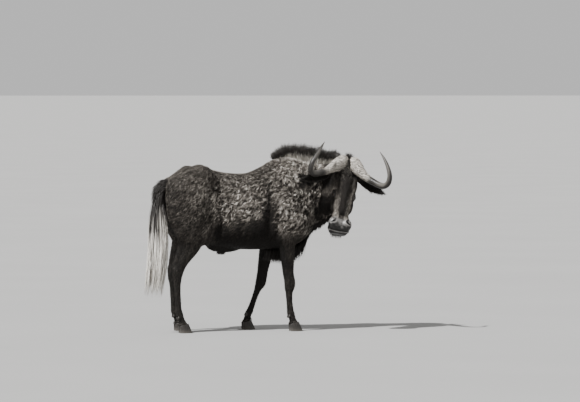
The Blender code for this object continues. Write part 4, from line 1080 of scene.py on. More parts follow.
def strands(name, paths, out, widths, thickness, tones, shades, uv, patch=0.003, power=2.0):
    # three sided blades through paths (count, points, 3), each closed at its root and pointed
    count, points = paths.shape[:2]
    rings = points - 1
    along = np.empty_like(paths)
    along[:, 1:-1] = paths[:, 2:] - paths[:, :-2]
    along[:, 0] = paths[:, 1] - paths[:, 0]
    along[:, -1] = paths[:, -1] - paths[:, -2]
    along = unit(along)
    faceWay = unit(out[:, None, :] - along * np.sum(out[:, None, :] * along, axis=2)[..., None])
    sideWay = np.cross(along, faceWay)
    share = np.arange(points) / rings
    half = (widths[:, None] * (1 - share ** power) * (0.75 + 0.25 * np.sin(np.pi * share))) / 2
    deep = thickness[:, None] * (1 - 0.5 * share ** 2) / 2
    spots = np.empty((count, rings * 3 + 1, 3))
    for corner, (a, b) in enumerate(((1, -0.5), (0, 1), (-1, -0.5))):
        spots[:, corner:rings * 3:3] = (paths[:, :-1] + sideWay[:, :-1] * (a * half[:, :-1, None])
                                        + faceWay[:, :-1] * (b * deep[:, :-1, None]))
    spots[:, -1] = paths[:, -1]
    faces = [(0, 2, 1)]
    corners = [(0.0, 0.0), (1.0, 0.0), (0.5, 0.12)]
    for ring in range(rings - 1):
        for corner in range(3):
            after = (corner + 1) % 3
            faces.append((ring * 3 + corner, ring * 3 + after, ring * 3 + 3 + after,
                          ring * 3 + 3 + corner))
            for across, level in ((0, ring), (1, ring), (1, ring + 1), (0, ring + 1)):
                corners.append(((corner + across) / 3, 0.12 + 0.88 * level / rings))
    top = (rings - 1) * 3
    for corner in range(3):
        faces.append((top + corner, top + (corner + 1) % 3, rings * 3))
        for across, level in ((0, rings - 1), (1, rings - 1), (0.5, rings)):
            corners.append(((corner + across) / 3, 0.12 + 0.88 * level / rings))
    loops = np.array([i for face in faces for i in face])
    sizes = np.array([len(face) for face in faces])
    perVertex = rings * 3 + 1
    starts = np.concatenate([[0], np.cumsum(sizes)[:-1]])
    mesh = bpy.data.meshes.new(name)
    mesh.vertices.add(count * perVertex)
    mesh.loops.add(count * len(loops))
    mesh.polygons.add(count * len(sizes))
    mesh.vertices.foreach_set("co", spots.astype(np.float32).ravel())
    every = (np.arange(count)[:, None] * perVertex + loops).ravel()
    mesh.loops.foreach_set("vertex_index", every.astype(np.int32))
    first = (np.arange(count)[:, None] * len(loops) + starts).ravel()
    mesh.polygons.foreach_set("loop_start", first.astype(np.int32))
    mesh.update(calc_edges=True)
    mesh.polygons.foreach_set("use_smooth", np.ones(len(mesh.polygons), bool))
    hair = np.empty((count, perVertex, 3), np.float32)
    hair[:, :-1, 0] = np.repeat(share[:-1], 3)
    hair[:, -1, 0] = 1.0
    hair[:, :, 1] = tones[:, None]
    hair[:, :, 2] = shades[:, None]
    mesh.attributes.new("hair", "FLOAT_VECTOR", "POINT").data.foreach_set("vector", hair.ravel())
    margin = patch * 1.1
    place = margin / 2 + np.clip(uv, 0, 1) * (1 - margin)
    spotsUv = place[:, None, :] + (np.array(corners)[None] - 0.5) * patch
    layer = mesh.uv_layers.new(name="OFBake")
    layer.data.foreach_set("uv", spotsUv.astype(np.float32).ravel())
    made = bpy.data.objects.new(name, mesh)
    bpy.context.scene.collection.objects.link(made)
    return made


def charted(u, v):
    u = (u - u.min()) / max(u.max() - u.min(), 1e-9)
    v = (v - v.min()) / max(v.max() - v.min(), 1e-9)
    return np.stack([u, v], axis=1)


coat = {
    # region: tufts, width, thickness, points in a tuft
    "trunk": (72000, 0.0036, 0.0013, 3),
    "legs": (48000, 0.0023, 0.0008, 2),
    "head": (56000, 0.0016, 0.0006, 2),
    "ears": (6000, 0.0020, 0.0006, 2),
    "seed": 5,
    "sink": 0.0015,
}


def sampleRoots(piece, weigh, wanted, draw):
    mesh = piece.data
    mesh.calc_loop_triangles()
    corners = np.empty(len(mesh.loop_triangles) * 3, np.int32)
    mesh.loop_triangles.foreach_get("vertices", corners)
    corners = corners.reshape(-1, 3)
    p = places(piece)
    n = outward(piece)
    a, b, c = (p[corners[:, i]] for i in range(3))
    middle = (a + b + c) / 3
    weight = np.linalg.norm(np.cross(b - a, c - a), axis=1) * weigh(middle)
    order = np.lexsort((middle[:, 1], middle[:, 0] // 0.012, middle[:, 2] // 0.012))
    total = np.cumsum(weight[order])
    marks = (np.arange(wanted) + draw.random(wanted)) * (total[-1] / wanted)
    chosen = order[np.minimum(np.searchsorted(total, marks), len(order) - 1)]
    s = np.sqrt(draw.random(wanted))[:, None]
    t = draw.random(wanted)[:, None]
    shares = (1 - s, s * (1 - t), s * t)
    root = sum(share * p[corners[chosen, i]] for i, share in enumerate(shares))
    normal = unit(sum(share * n[corners[chosen, i]] for i, share in enumerate(shares)))
    return root, normal


def regionOf(p):
    ears = np.maximum(earPart(p, "right")[0], earPart(p, "left")[0])
    region = np.zeros(len(p), int)
    region[legShare(p) + 0.45 * noise(p, 0.012, 81) > 0.5] = 1
    region[headShare(p) > 0.5] = 2
    region[ears > 0.5] = 3
    return region


def hornShare(p):
    # roots under the horns' bases stay bare
    near = np.zeros(len(p))
    for sign in sides.values():
        for row in hornForm["rows"][:4]:
            centre = upright @ Vector((sign * row[0], row[1], row[2]))
            away = np.linalg.norm(p - np.array(centre), axis=1)
            near = np.maximum(near, away < max(row[3], row[4]) * 0.92)
    return near


def shortCoat():
    draw = np.random.default_rng(coat["seed"])
    pieces = []
    for number, region in enumerate(("trunk", "legs", "head", "ears")):
        wanted, width, thickness, points = coat[region]

        def weigh(p, number=number):
            inside = (regionOf(p) == number) * (1 - bareShare(p)) * (p[:, 2] > 0.050)
            if number >= 2:
                inside = inside * (1 - lidShare(p)) * (1 - hornShare(p))
            return inside * (1 + 0.5 * smoothStep(p[:, 0], 0.05, 0.12))

        root, normal = sampleRoots(hide, weigh, wanted, draw)
        lie = coatLie(root, normal)
        curl = curlShare(root)
        clump = clumps(root)
        onHead = headShare(root)
        long = 0.0265 - 0.0140 * legShare(root)
        long = long + (0.0078 - long) * onHead
        long *= 1 - 0.35 * onHead * smoothStep(-inFace(root)[:, 2], 0.33, 0.40)
        size = long * (0.75 + 0.5 * draw.random(wanted)) * (1 + 0.15 * curl * clump)
        tall = coatDepth(root) * (0.80 + 0.35 * draw.random(wanted) + 0.45 * curl * clump)
        tall = np.maximum(tall, 0.0012 + 0.0022 * (number == 0))
        drift = np.cross(normal, lie) * (draw.random(wanted) - 0.5)[:, None] * 0.5
        middle = root + lie * (size * 0.42)[:, None] + normal * (tall * 0.85)[:, None]
        tip = root + (lie + drift) * size[:, None] + normal * (tall * (1 - 0.45 * curl))[:, None]
        if points == 2:
            tip += normal * (tall * 0.25)[:, None]
            paths = np.stack([root - normal * coat["sink"] * 0.3, tip], axis=1)
        else:
            paths = np.stack([root - normal * coat["sink"], middle, tip], axis=1)
        # tufts on raised clumps are paler: painted highlights on the clump tops
        tones = 0.5 * draw.random(wanted) + 0.5 * np.clip(clump * 0.5 + 0.5, 0, 1)
        shades = markingsAndPaintedLight(root)
        widths = width * (0.8 + 0.4 * draw.random(wanted))
        groups = []
        if number == 0:
            turn = np.arctan2(root[:, 1], root[:, 2] - 0.86)
            cuts = (-0.42, -0.05, 0.22)
            part = np.digitize(root[:, 0], cuts)
            for index in range(4):
                groups.append((f"coat_trunk_{index}", part == index, root[:, 0], turn))
        elif number == 1:
            for side, sign in sides.items():
                inSide = root[:, 1] * sign > 0
                hind = root[:, 0] < -0.3
                where = np.where(hind, -0.6, 0.05)
                turn = np.arctan2(root[:, 1] - sign * 0.125, root[:, 0] - where)
                groups.append((f"coat_legs_{side}", inSide, turn + hind * 6.6, root[:, 2]))
        elif number == 2:
            q = inFace(root)
            turn = np.arctan2(q[:, 0], q[:, 1] + 0.11)
            groups.append(("coat_head_upper", q[:, 2] > -0.22, turn, q[:, 2]))
            groups.append(("coat_head_lower", q[:, 2] <= -0.22, turn, q[:, 2]))
        else:
            q = inFace(root)
            groups.append(("coat_ears", np.ones(wanted, bool), q[:, 0], q[:, 2] + q[:, 1]))
        for name, chosen, u, v in groups:
            pieces.append(strands(name, paths[chosen], normal[chosen], widths[chosen],
                                  np.full(chosen.sum(), thickness), tones[chosen],
                                  shades[chosen], charted(u[chosen], v[chosen]), power=1.6))
    return pieces


withers = (0.088, 0.0)


def neckLine():
    rows = [(*withers, 0.0, 0.0, 0.0)] + [tuple(row) for row in body["neck"]]
    return np.array(smoothRows(rows, 4))[:, :2]


def alongNeck(share):
    line = neckLine()
    at = np.clip(share, 0, 1) * (len(line) - 1)
    index = np.minimum(at.astype(int), len(line) - 2)
    here = line[index]
    there = line[index + 1]
    f = (at - index)[:, None]
    way = unit(there - here)
    zero = np.zeros((len(share), 1))
    return np.hstack([here + (there - here) * f, zero]), np.hstack([way, zero])


def castAll(tree, starts, ways):
    roots = []
    normals = []
    hit = []
    for start, way in zip(starts, ways):
        place, normal, _, _ = tree.ray_cast(Vector(start), Vector(way))
        hit.append(place is not None)
        roots.append(place or Vector(start))
        normals.append(normal or -Vector(way))
    return np.array(roots), np.array(normals), np.array(hit)


def swept(root, rise, curl, size, sink, points, wild, draw):
    # a strand leaves its root one way and bends to another
    count = len(root)
    path = [root - unit(rise) * sink]
    step = ((size + sink) / (points - 1))[:, None]
    bend = (draw.random((count, 3)) - 0.5) * wild
    for index in range(points - 1):
        f = (index + 0.5) / (points - 1)
        way = unit(rise * (1 - f) + curl * f + bend * f * f * 2)
        path.append(path[-1] + way * step)
    return np.stack(path, axis=1)


def maneHeight(share):
    rising = 1 - np.minimum(share / 0.48, 1.0)
    return 0.138 * (1 - 0.66 * rising ** 2) * (1 - 0.46 * share ** 3)


def mane(tree, draw):
    count = 3000
    share = (np.arange(count) + draw.random(count)) / count
    start, along = alongNeck(0.01 + 0.83 * share)
    side = np.cross(np.tile([0, 0, 1.0], (count, 1)), along)
    off = draw.normal(0, 0.0085, count).clip(-0.020, 0.020)
    spot = start + side * off[:, None]
    spot[:, 2] = 1.6
    root, _, hit = castAll(tree, spot, np.tile([0, 0, -1.0], (count, 1)))
    clump = noise(np.stack([share * 1.0, off, share * 0], axis=1), 0.012, 7)
    lean = np.radians(-50 + 58 * np.minimum(share * 1.9, 1.0) + draw.normal(0, 6, count)
                      + clump * 10)
    zUp = np.array([0, 0, 1.0])
    rise = zUp * np.cos(lean)[:, None] + along * np.sin(lean)[:, None]
    rise = rise + side * (off / 0.020 * 0.24)[:, None]
    curl = rise + along * 0.22 + side * (off / 0.020 * 0.10)[:, None]
    lump = noise(np.stack([share, off * 0, off * 0], axis=1), 0.018, 8)
    size = maneHeight(share) * (0.82 + 0.24 * draw.random(count) + 0.10 * clump + 0.07 * lump)
    size *= 1 - 0.25 * np.abs(off) / 0.020
    paths = swept(root, rise, curl, size, 0.006, 6, 0.16, draw)
    tones = 0.6 * draw.random(count) + 0.4 * (clump * 0.5 + 0.5)
    pale = smoothStep(share + 0.06 * clump, 0.10, 0.32) * (0.75 + 0.25 * clump)
    widths = 0.0046 * (0.8 + 0.4 * draw.random(count))
    return strands("mane_hair", paths[hit], along[hit] + side[hit] * 0.3, widths[hit],
                   np.full(hit.sum(), 0.0018), tones[hit], pale[hit],
                   charted(share[hit], off[hit]), power=2.6)


def fringe(name, tree, draw, count, spots, falls, curls, length, width, shade, wild=0.35,
           points=5, castWay=None):
    ways = castWay if castWay is not None else np.tile([0, 0, 1.0], (count, 1))
    root, normal, hit = castAll(tree, spots, ways)
    clump = noise(root, 0.012, 9)
    size = length * (0.70 + 0.35 * draw.random(count) + 0.12 * clump)
    paths = swept(root, falls, curls + clump[:, None] * 0.15, size, 0.004, points, wild, draw)
    tones = 0.6 * draw.random(count) + 0.4 * (clump * 0.5 + 0.5)
    widths = width * (0.8 + 0.4 * draw.random(count))
    uv = charted(root[hit][:, 0] + root[hit][:, 2] * 0.3, root[hit][:, 1] - root[hit][:, 2] * 0.2)
    across = np.cross(falls, curls + 0.01) + normal * 0.2
    return strands(name, paths[hit], across[hit], widths[hit], widths[hit] * 0.4, tones[hit],
                   np.full(hit.sum(), shade), uv, power=2.2)


def fringes(tree, draw):
    made = []
    up3 = np.array([0, 0, 1.0])
    a3, o3, u3 = (np.array(way) for way in (aside, faceOut, faceUp))
    count = 620
    share = draw.random(count)
    start, along = alongNeck(0.36 + 0.38 * share)
    side = np.cross(np.tile(up3, (count, 1)), along)
    off = draw.normal(0, 0.011, count)[:, None]
    spots = start + side * off
    spots[:, 2] = 0.3
    falls = -up3 + along * 0.15 + side * off * 12
    curls = -up3 - along * 0.50
    made.append(fringe("throat_hair", tree, draw, count, spots, falls, curls,
                       0.070 * (1.15 - 0.4 * share), 0.0046, 0.10))
    count = 800
    share = draw.random(count)
    x = 0.030 + 0.285 * share
    y = draw.normal(0, 0.012, count)
    spots = np.stack([x, y, np.full(count, 0.2)], axis=1)
    falls = -up3 + np.array([0, 1.0, 0]) * (y * 14)[:, None] - np.array([0.1, 0, 0])
    curls = -up3 * 1.0 - np.array([0.45, 0, 0])
    made.append(fringe("brisket_hair", tree, draw, count, spots, falls, curls,
                       0.090 + 0.074 * share, 0.0048, 0.06))
    count = 150
    x = -0.290 + draw.normal(0, 0.014, count)
    y = draw.normal(0, 0.007, count)
    spots = np.stack([x, y, np.full(count, 0.2)], axis=1)
    falls = -up3 + np.array([0, 1.0, 0]) * (y * 14)[:, None]
    curls = -up3 - np.array([0.45, 0, 0])
    made.append(fringe("sheath_hair", tree, draw, count, spots, falls, curls,
                       np.full(count, 0.024), 0.0034, 0.05))
    count = 1150
    below = 0.130 + 0.250 * draw.random(count)
    off = draw.normal(0, 0.0115, count).clip(-0.026, 0.026)
    spots = np.array([facePoint(x, 0.30, -z) for x, z in zip(off, below)])
    falls = o3 * 0.62 + u3 * 0.78 + a3 * (off * 14)[:, None]
    curls = u3 + o3 * 0.10 + a3 * (off * 16)[:, None]
    size = 0.052 * (1 - 0.45 * np.abs(off) / 0.03)
    made.append(fringe("brush_hair", tree, draw, count, spots, falls, curls, size, 0.0030,
                       0.08, 0.45, castWay=np.tile(-o3, (count, 1))))
    count = 850
    below = 0.280 + 0.215 * draw.random(count)
    off = draw.normal(0, 0.016, count).clip(-0.036, 0.036)
    spots = np.array([facePoint(x, -0.45, -z) for x, z in zip(off, below)])
    falls = -o3 * 0.5 - u3 * 0.8 + a3 * (off * 9)[:, None]
    curls = -u3 * 0.8 - up3 * 0.2 - o3 * 0.1 + a3 * (off * 4)[:, None]
    size = 0.054 * (1.15 - 0.55 * (below - 0.28) / 0.2)
    made.append(fringe("beard_hair", tree, draw, count, spots, falls, curls, size, 0.0038,
                       0.06, 0.4, castWay=np.tile(o3, (count, 1))))
    count = 900
    below = draw.uniform(-0.030, 0.130, count)
    off = draw.normal(0, 0.020, count).clip(-0.05, 0.05) * (0.45 + 4 * np.maximum(below, 0))
    spots = np.array([facePoint(x, 0.20, -z) for x, z in zip(off, below)])
    falls = o3 * 0.8 + a3 * (off * 8)[:, None] + draw.normal(0, 0.25, (count, 3))
    curls = -u3 * 0.7 + o3 * 0.25 + draw.normal(0, 0.5, (count, 3))
    made.append(fringe("forelock_hair", tree, draw, count, spots, falls, curls,
                       np.full(count, 0.026), 0.0034, 0.12, 0.8,
                       castWay=np.tile(-o3, (count, 1))))
    count = 700
    off = draw.uniform(-0.014, 0.014, count)
    level = draw.uniform(-0.2, 1.0, count)
    spots = np.array([facePoint(x, -0.060 - 0.05 * max(f, 0) ** 2, 0.045 * f)
                      for x, f in zip(off, level)])
    turn = np.clip(level, 0, 1)[:, None]
    falls = o3 * (1 - 0.8 * turn) + u3 * (0.25 + 1.0 * turn) + a3 * (off * 6)[:, None]
    falls = falls + draw.normal(0, 0.12, (count, 3))
    curls = falls * 0.8 - u3 * 0.25 + draw.normal(0, 0.35, (count, 3))
    paths = swept(spots, falls, curls, 0.046 + 0.018 * draw.random(count), 0.010, 5, 0.4, draw)
    made.append(strands("parting_hair", paths, np.tile(a3, (count, 1)), np.full(count, 0.0034),
                        np.full(count, 0.0014), draw.random(count), np.full(count, 0.08),
                        charted(off, level), power=2.2))
    for name in sides:
        root, tip, along, across, openWay = earFrame(name)
        count = 260
        share = draw.uniform(0.25, 0.97, count)
        halves = np.interp(share, [row[0] for row in ear["rows"]],
                           [row[1] for row in ear["rows"]])
        lower = across if across.z < 0 else -across
        edge = np.array([root.lerp(tip, s) + lower * (h - 0.0045)
                         for s, h in zip(share, halves)])
        falls = np.array(along) * 0.8 + np.array(lower) * 0.6
        falls = np.tile(falls, (count, 1)) + draw.normal(0, 0.12, (count, 3))
        curls = np.array(along) * 0.7 + np.array(lower) * 0.3 - up3 * 0.35
        curls = np.tile(curls, (count, 1)) + draw.normal(0, 0.15, (count, 3))
        size = 0.013 * (0.5 + 0.7 * draw.random(count))
        paths = swept(edge, falls, curls, size, 0.003, 4, 0.3, draw)
        made.append(strands(f"ear_hair_{name}", paths, np.tile(np.array(openWay), (count, 1)),
                            np.full(count, 0.0030), np.full(count, 0.0010),
                            draw.random(count), np.full(count, 0.05),
                            charted(share, draw.random(count)), power=2.0))
    return made


def coronetHair(tree, draw):
    # hair that falls from the pasterns over the hooves' tops
    count = 260
    paths = []
    outs = []
    turns = []
    for number, (pair, side, sign, x, level) in enumerate(legPlaces()):
        angle = 2 * np.pi * draw.random(count)
        way = np.stack([np.cos(angle), np.sin(angle), 0 * angle], axis=1)
        middle = np.array([x, sign * level, claw["height"] + 0.009])
        start = middle + way * 0.09
        start[:, 2] += 0.030 * claw["slope"] * np.cos(angle) + 0.010 * draw.random(count)
        root, _, hit = castAll(tree, start, -way)
        falls = way * 0.9 - np.array([0, 0, 0.7])
        curls = way * 0.35 - np.array([0, 0, 1.0])
        size = 0.020 * (0.75 + 0.5 * draw.random(count))
        paths.append(swept(root, falls, curls, size, 0.002, 3, 0.3, draw)[hit])
        outs.append(way[hit])
        turns.append(angle[hit] + number * 7.0)
    paths = np.concatenate(paths)
    total = len(paths)
    return strands("coronet_hair", paths, np.concatenate(outs), np.full(total, 0.0026),
                   np.full(total, 0.0009), draw.random(total), np.full(total, 0.22),
                   charted(np.concatenate(turns), paths[:, 0, 2]), power=2.0)


tailForm = {
    "dock": (
        (-0.640, 0.000, 1.008, 0.038), (-0.690, -0.004, 1.000, 0.036),
        (-0.728, -0.018, 0.965, 0.031), (-0.748, -0.040, 0.890, 0.026),
        (-0.756, -0.060, 0.800, 0.021), (-0.760, -0.075, 0.710, 0.015),
        (-0.764, -0.088, 0.640, 0.006),
    ),
    "line": (
        (-0.700, -0.004, 1.000), (-0.738, -0.022, 0.950), (-0.750, -0.040, 0.890),
        (-0.756, -0.060, 0.800), (-0.760, -0.075, 0.710), (-0.766, -0.095, 0.600),
        (-0.776, -0.108, 0.470), (-0.800, -0.116, 0.300), (-0.806, -0.118, 0.230),
    ),
    "strands": 1050,
    "bottom": 0.235,
}


def tailCore():
    rows = smoothRows(tailForm["dock"], 5)
    points = [Vector(row[:3]) for row in rows]
    rings = []
    for index, row in enumerate(rows):
        before = points[max(index - 1, 0)]
        after = points[min(index + 1, len(rows) - 1)]
        along = (after - before).normalized()
        side = (left - along * left.dot(along)).normalized()
        rings.append(section(points[index], side, along.cross(side), row[3], row[3], 2.0,
                             0.0, 24))
    return loft(rings)


def tailMiddle(heights):
    line = np.array(tailForm["line"])[::-1]
    return np.stack([np.interp(heights, line[:, 2], line[:, 0]),
                     np.interp(heights, line[:, 2], line[:, 1]), heights], axis=-1)


def dockHair(draw):
    count = 1500
    rows = np.array(smoothRows(tailForm["dock"], 6))
    at = draw.random(count) ** 0.9 * (len(rows) - 8)
    index = at.astype(int)
    f = (at - index)[:, None]
    here = rows[index] * (1 - f) + rows[index + 1] * f
    way = unit(rows[index + 1, :3] - rows[index, :3])
    side = unit(np.array([0, 1.0, 0]) - way * way[:, 1:2])
    rise = np.cross(way, side)
    angle = draw.random(count) * 2 * np.pi
    out = side * np.cos(angle)[:, None] + rise * np.sin(angle)[:, None]
    root = here[:, :3] + out * here[:, 3:4]
    size = 0.055 + 0.05 * (at / len(rows)) + 0.02 * draw.random(count)
    level = at / len(rows)
    fall = np.array([0, 0, -1.0]) * (0.15 + 0.8 * level)[:, None]
    paths = swept(root, way + out * 0.30, way + fall, size, 0.004, 5, 0.25, draw)
    return strands("dock_hair", paths, out, np.full(count, 0.0058), np.full(count, 0.0018),
                   draw.random(count), np.full(count, 0.5), charted(angle, level), power=2.2)


def tailHair(draw):
    count = tailForm["strands"]
    share = (np.arange(count) + draw.random(count)) / count
    angle = draw.random(count) * 2 * np.pi
    rootZ = 0.992 - 0.345 * share
    tipZ = tailForm["bottom"] + draw.random(count) ** 1.4 * 0.21 + 0.20 * (1 - share) ** 2
    way = np.stack([np.cos(angle) * 0.95 + 0.05, np.sin(angle) * 0.75, 0 * angle], axis=1)
    level = np.sqrt(draw.random(count))
    rows = []
    points = 9
    dock = np.array(tailForm["dock"])[::-1]
    for step in range(points):
        f = step / (points - 1)
        z = rootZ + (tipZ - rootZ) * f
        thick = np.interp(rootZ, dock[:, 2], dock[:, 3])
        wide = 0.016 + 0.060 * np.sin(np.pi * min(f * 0.72 + 0.02, 0.62))
        wide = wide * (0.35 + 0.65 * level)
        wide = np.maximum(wide, (thick + 0.003) * (1 - f * 2.2)) if f < 0.45 else wide
        if step == 0:
            wide = thick * 0.8
        wave = 0.006 * np.sin(f * 9 + angle * 3) * f
        side = np.stack([-way[:, 1], way[:, 0], 0 * angle], axis=1)
        rows.append(tailMiddle(z) + way * np.reshape(wide, (-1, 1)) + side * wave[:, None])
    paths = np.stack(rows, axis=1)
    light = 0.5 + 0.5 * np.clip(way[:, 0] * 1.0 - way[:, 1] * 0.2, -1, 1)
    return strands("tail_hair", paths, way, 0.0070 * (0.7 + 0.6 * draw.random(count)),
                   np.full(count, 0.0026), draw.random(count), light,
                   charted(angle, rootZ), power=2.4)


class Value:
    # a socket that adds a Math node for each sum written with it
    def __init__(self, paint, socket):
        self.paint = paint
        self.socket = socket

    def math(self, operation, *others):
        inputs = {index: other for index, other in enumerate(others)}
        return self.paint.add("ShaderNodeMath", {"operation": operation}, inputs)

    def __add__(self, other):
        return self.math("ADD", self, other)

    def __radd__(self, other):
        return self.math("ADD", other, self)

    def __sub__(self, other):
        return self.math("SUBTRACT", self, other)

    def __rsub__(self, other):
        return self.math("SUBTRACT", other, self)

    def __mul__(self, other):
        return self.math("MULTIPLY", self, other)

    def __rmul__(self, other):
        return self.math("MULTIPLY", other, self)

    def __pow__(self, other):
        return self.math("POWER", self, other)

    def clamp(self):
        kept = {"operation": "ADD", "use_clamp": True}
        return self.paint.add("ShaderNodeMath", kept, {0: self, 1: 0.0})

    def ramp(self, low, high, start=0.0, end=1.0):
        inputs = {"Value": self, "From Min": low, "From Max": high, "To Min": start,
                  "To Max": end}
        return self.paint.add("ShaderNodeMapRange", {"interpolation_type": "SMOOTHSTEP"}, inputs)


class Paint:
    def __init__(self, name, **constants):
        self.material = bpy.data.materials.new(name)
        self.material.use_nodes = True
        self.nodes = self.material.node_tree.nodes
        self.links = self.material.node_tree.links
        self.shader = self.nodes["Principled BSDF"]
        for key, value in constants.items():
            self.shader.inputs[key.replace("_", " ")].default_value = value

    def add(self, kind, settings, inputs, output=0):
        node = self.nodes.new(kind)
        for key, value in settings.items():
            if key == "stops":
                ramp = node.color_ramp
                while len(ramp.elements) < len(value):
                    ramp.elements.new(0.5)
                for element, (place, colour) in zip(ramp.elements, value):
                    element.position = place
                    element.color = (*colour, 1.0)
            else:
                setattr(node, key, value)
        for key, value in inputs.items():
            if isinstance(value, Value):
                self.links.new(value.socket, node.inputs[key])
            else:
                node.inputs[key].default_value = value
        return Value(self, node.outputs[output])

    def place(self):
        return self.add("ShaderNodeTexCoord", {}, {}, "Object")

    def hair(self):
        # the three numbers that each vertex carries
        vector = self.add("ShaderNodeAttribute", {"attribute_name": "hair"}, {}, "Vector")
        return [self.add("ShaderNodeSeparateXYZ", {}, {0: vector}, axis) for axis in range(3)]

    def noise(self, vector, scale, detail=3.0, rough=0.5, distortion=0.0):
        inputs = {"Vector": vector, "Scale": scale, "Detail": detail, "Roughness": rough,
                  "Distortion": distortion}
        return self.add("ShaderNodeTexNoise", {}, inputs, 0)

    def stretch(self, vector, scale):
        return self.add("ShaderNodeMapping", {}, {"Vector": vector, "Scale": scale})

    def mix(self, share, first, second):
        inputs = {0: share, 6: first, 7: second}
        return self.add("ShaderNodeMix", {"data_type": "RGBA"}, inputs, 2)

    def bump(self, height, strength, distance):
        inputs = {"Height": height, "Strength": strength, "Distance": distance}
        return self.add("ShaderNodeBump", {}, inputs, 0)

    def set(self, **values):
        for key, value in values.items():
            self.links.new(value.socket, self.shader.inputs[key.replace("_", " ")])
        return self.material


def rgb(red, green, blue):
    return (red, green, blue, 1.0)


coatColours = {
    # deep is the colour of painted shade, at the roots of the hair
    "deep": rgb(0.0050, 0.0044, 0.0038),
    "dark": rgb(0.0150, 0.0130, 0.0112),
    "mid": rgb(0.0700, 0.0610, 0.0520),
    "pale": rgb(0.3000, 0.2720, 0.2380),
    "cream": rgb(0.8000, 0.7600, 0.6900),
}


def coatColour(paint, shade, tone, along):
    # painted shade at the roots, fading towards the ends, over the markings of the body
    level = shade * 0.80 + (tone - 0.5) * (shade + 0.20)
    colour = paint.mix(level.ramp(0.0, 0.34), coatColours["dark"], coatColours["mid"])
    colour = paint.mix(level.ramp(0.34, 0.85), colour, coatColours["pale"])
    colour = paint.mix(level.ramp(0.92, 1.22), colour, coatColours["cream"])
    # painted shade at the roots: the root end of each hair darkens towards the deep colour, less
    # where the tone is pale
    return paint.mix((1 - along) * (1 - shade * 0.45).clamp() * 0.80, colour, coatColours["deep"])


def coatMaterial():
    paint = Paint("coat_hair", Specular_IOR_Level=0.20)
    along, tone, shade = paint.hair()
    where = paint.place()
    patchy = paint.noise(where, 90.0, 2.0)
    colour = coatColour(paint, shade, tone * 0.7 + patchy * 0.3, along.ramp(0.0, 0.7))
    rough = 0.62 - tone * 0.16
    fine = paint.noise(where, 900.0, 1.0)
    return paint.set(Base_Color=colour, Roughness=rough, Normal=paint.bump(fine, 0.3, 0.0006))


def hideMaterial():
    paint = Paint("hide", Specular_IOR_Level=0.20, Coat_Roughness=0.34)
    bare, wet, shade = paint.hair()
    where = paint.place()
    fleck = paint.noise(where, 130.0, 4.0, 0.6)
    fibres = paint.noise(paint.stretch(where, (420.0, 420.0, 160.0)), 1.0, 3.0, 0.6)
    colour = coatColour(paint, shade * 0.8, fleck * 0.6 + fibres * 0.4, fibres.ramp(0.2, 0.8))
    skinTone = paint.noise(where, 45.0, 4.0)
    naked = paint.mix((shade + (skinTone - 0.5) * 0.3).ramp(0.0, 0.9), rgb(0.006, 0.0058, 0.0055),
                      rgb(0.210, 0.200, 0.190))
    colour = paint.mix(bare, colour, naked)
    pebbles = paint.add("ShaderNodeTexVoronoi", {"feature": "F1"},
                        {"Vector": where, "Scale": 300.0}, "Distance")
    wrinkles = paint.noise(where, 190.0, 4.0, 0.65, 1.2)
    grain = fibres * (1 - bare) - pebbles * bare * 0.9 + (skinTone * 0.4 + wrinkles) * bare
    rough = 0.66 - bare * 0.18 - wet * 0.08
    return paint.set(Base_Color=colour, Roughness=rough, Coat_Weight=bare * 0.25,
                     Normal=paint.bump(grain, 0.55, 0.0016))


def lidMaterial():
    paint = Paint("lids", Specular_IOR_Level=0.45)
    across, _, shade = paint.hair()
    where = paint.place()
    fibres = paint.noise(paint.stretch(where, (500.0, 500.0, 200.0)), 1.0, 3.0, 0.6)
    colour = coatColour(paint, shade, fibres, fibres.ramp(0.1, 0.6))
    rim = 1 - across.ramp(0.10, 0.38)
    colour = paint.mix(rim, colour, rgb(0.010, 0.009, 0.0085))
    rough = 0.60 - rim * 0.32
    return paint.set(Base_Color=colour, Roughness=rough, Normal=paint.bump(fibres, 0.4, 0.0010))


def longHair(name, root, end, change, soften, tip, flecks):
    # root colour turns to the end colour round a share of the length
    paint = Paint(name, Specular_IOR_Level=0.30)
    along, tone, shade = paint.hair()
    where = paint.place()
    turn = along + (tone - 0.5) * 0.22
    colour = paint.mix(turn.ramp(change - soften, change + soften), root, end)
    colour = paint.mix(tone.ramp(*flecks), colour, tip)
    lines = paint.noise(paint.stretch(where, (900.0, 900.0, 120.0)), 1.0, 2.0)
    shaded = paint.mix((1 - lines.ramp(0.25, 0.6)) * 0.35, colour, coatColours["deep"])
    rough = 0.52 - tone * 0.14
    return paint.set(Base_Color=shaded, Roughness=rough, Normal=paint.bump(lines, 0.3, 0.0008))


def maneMaterial():
    # black hair on a pale foot, which fades towards the withers
    paint = Paint("mane_hair", Specular_IOR_Level=0.35)
    along, tone, pale = paint.hair()
    where = paint.place()
    turn = along + (tone - 0.5) * 0.50 + (1 - pale) * 0.30
    black = paint.mix(tone, rgb(0.008, 0.007, 0.006), rgb(0.045, 0.039, 0.033))
    foot = paint.mix(tone, rgb(0.60, 0.56, 0.50), rgb(0.90, 0.87, 0.80))
    colour = paint.mix(turn.ramp(0.42, 0.64), foot, black)
    lines = paint.noise(paint.stretch(where, (900.0, 900.0, 120.0)), 1.0, 2.0)
    return paint.set(Base_Color=colour, Roughness=0.50 - tone * 0.14,
                     Normal=paint.bump(lines, 0.3, 0.0008))


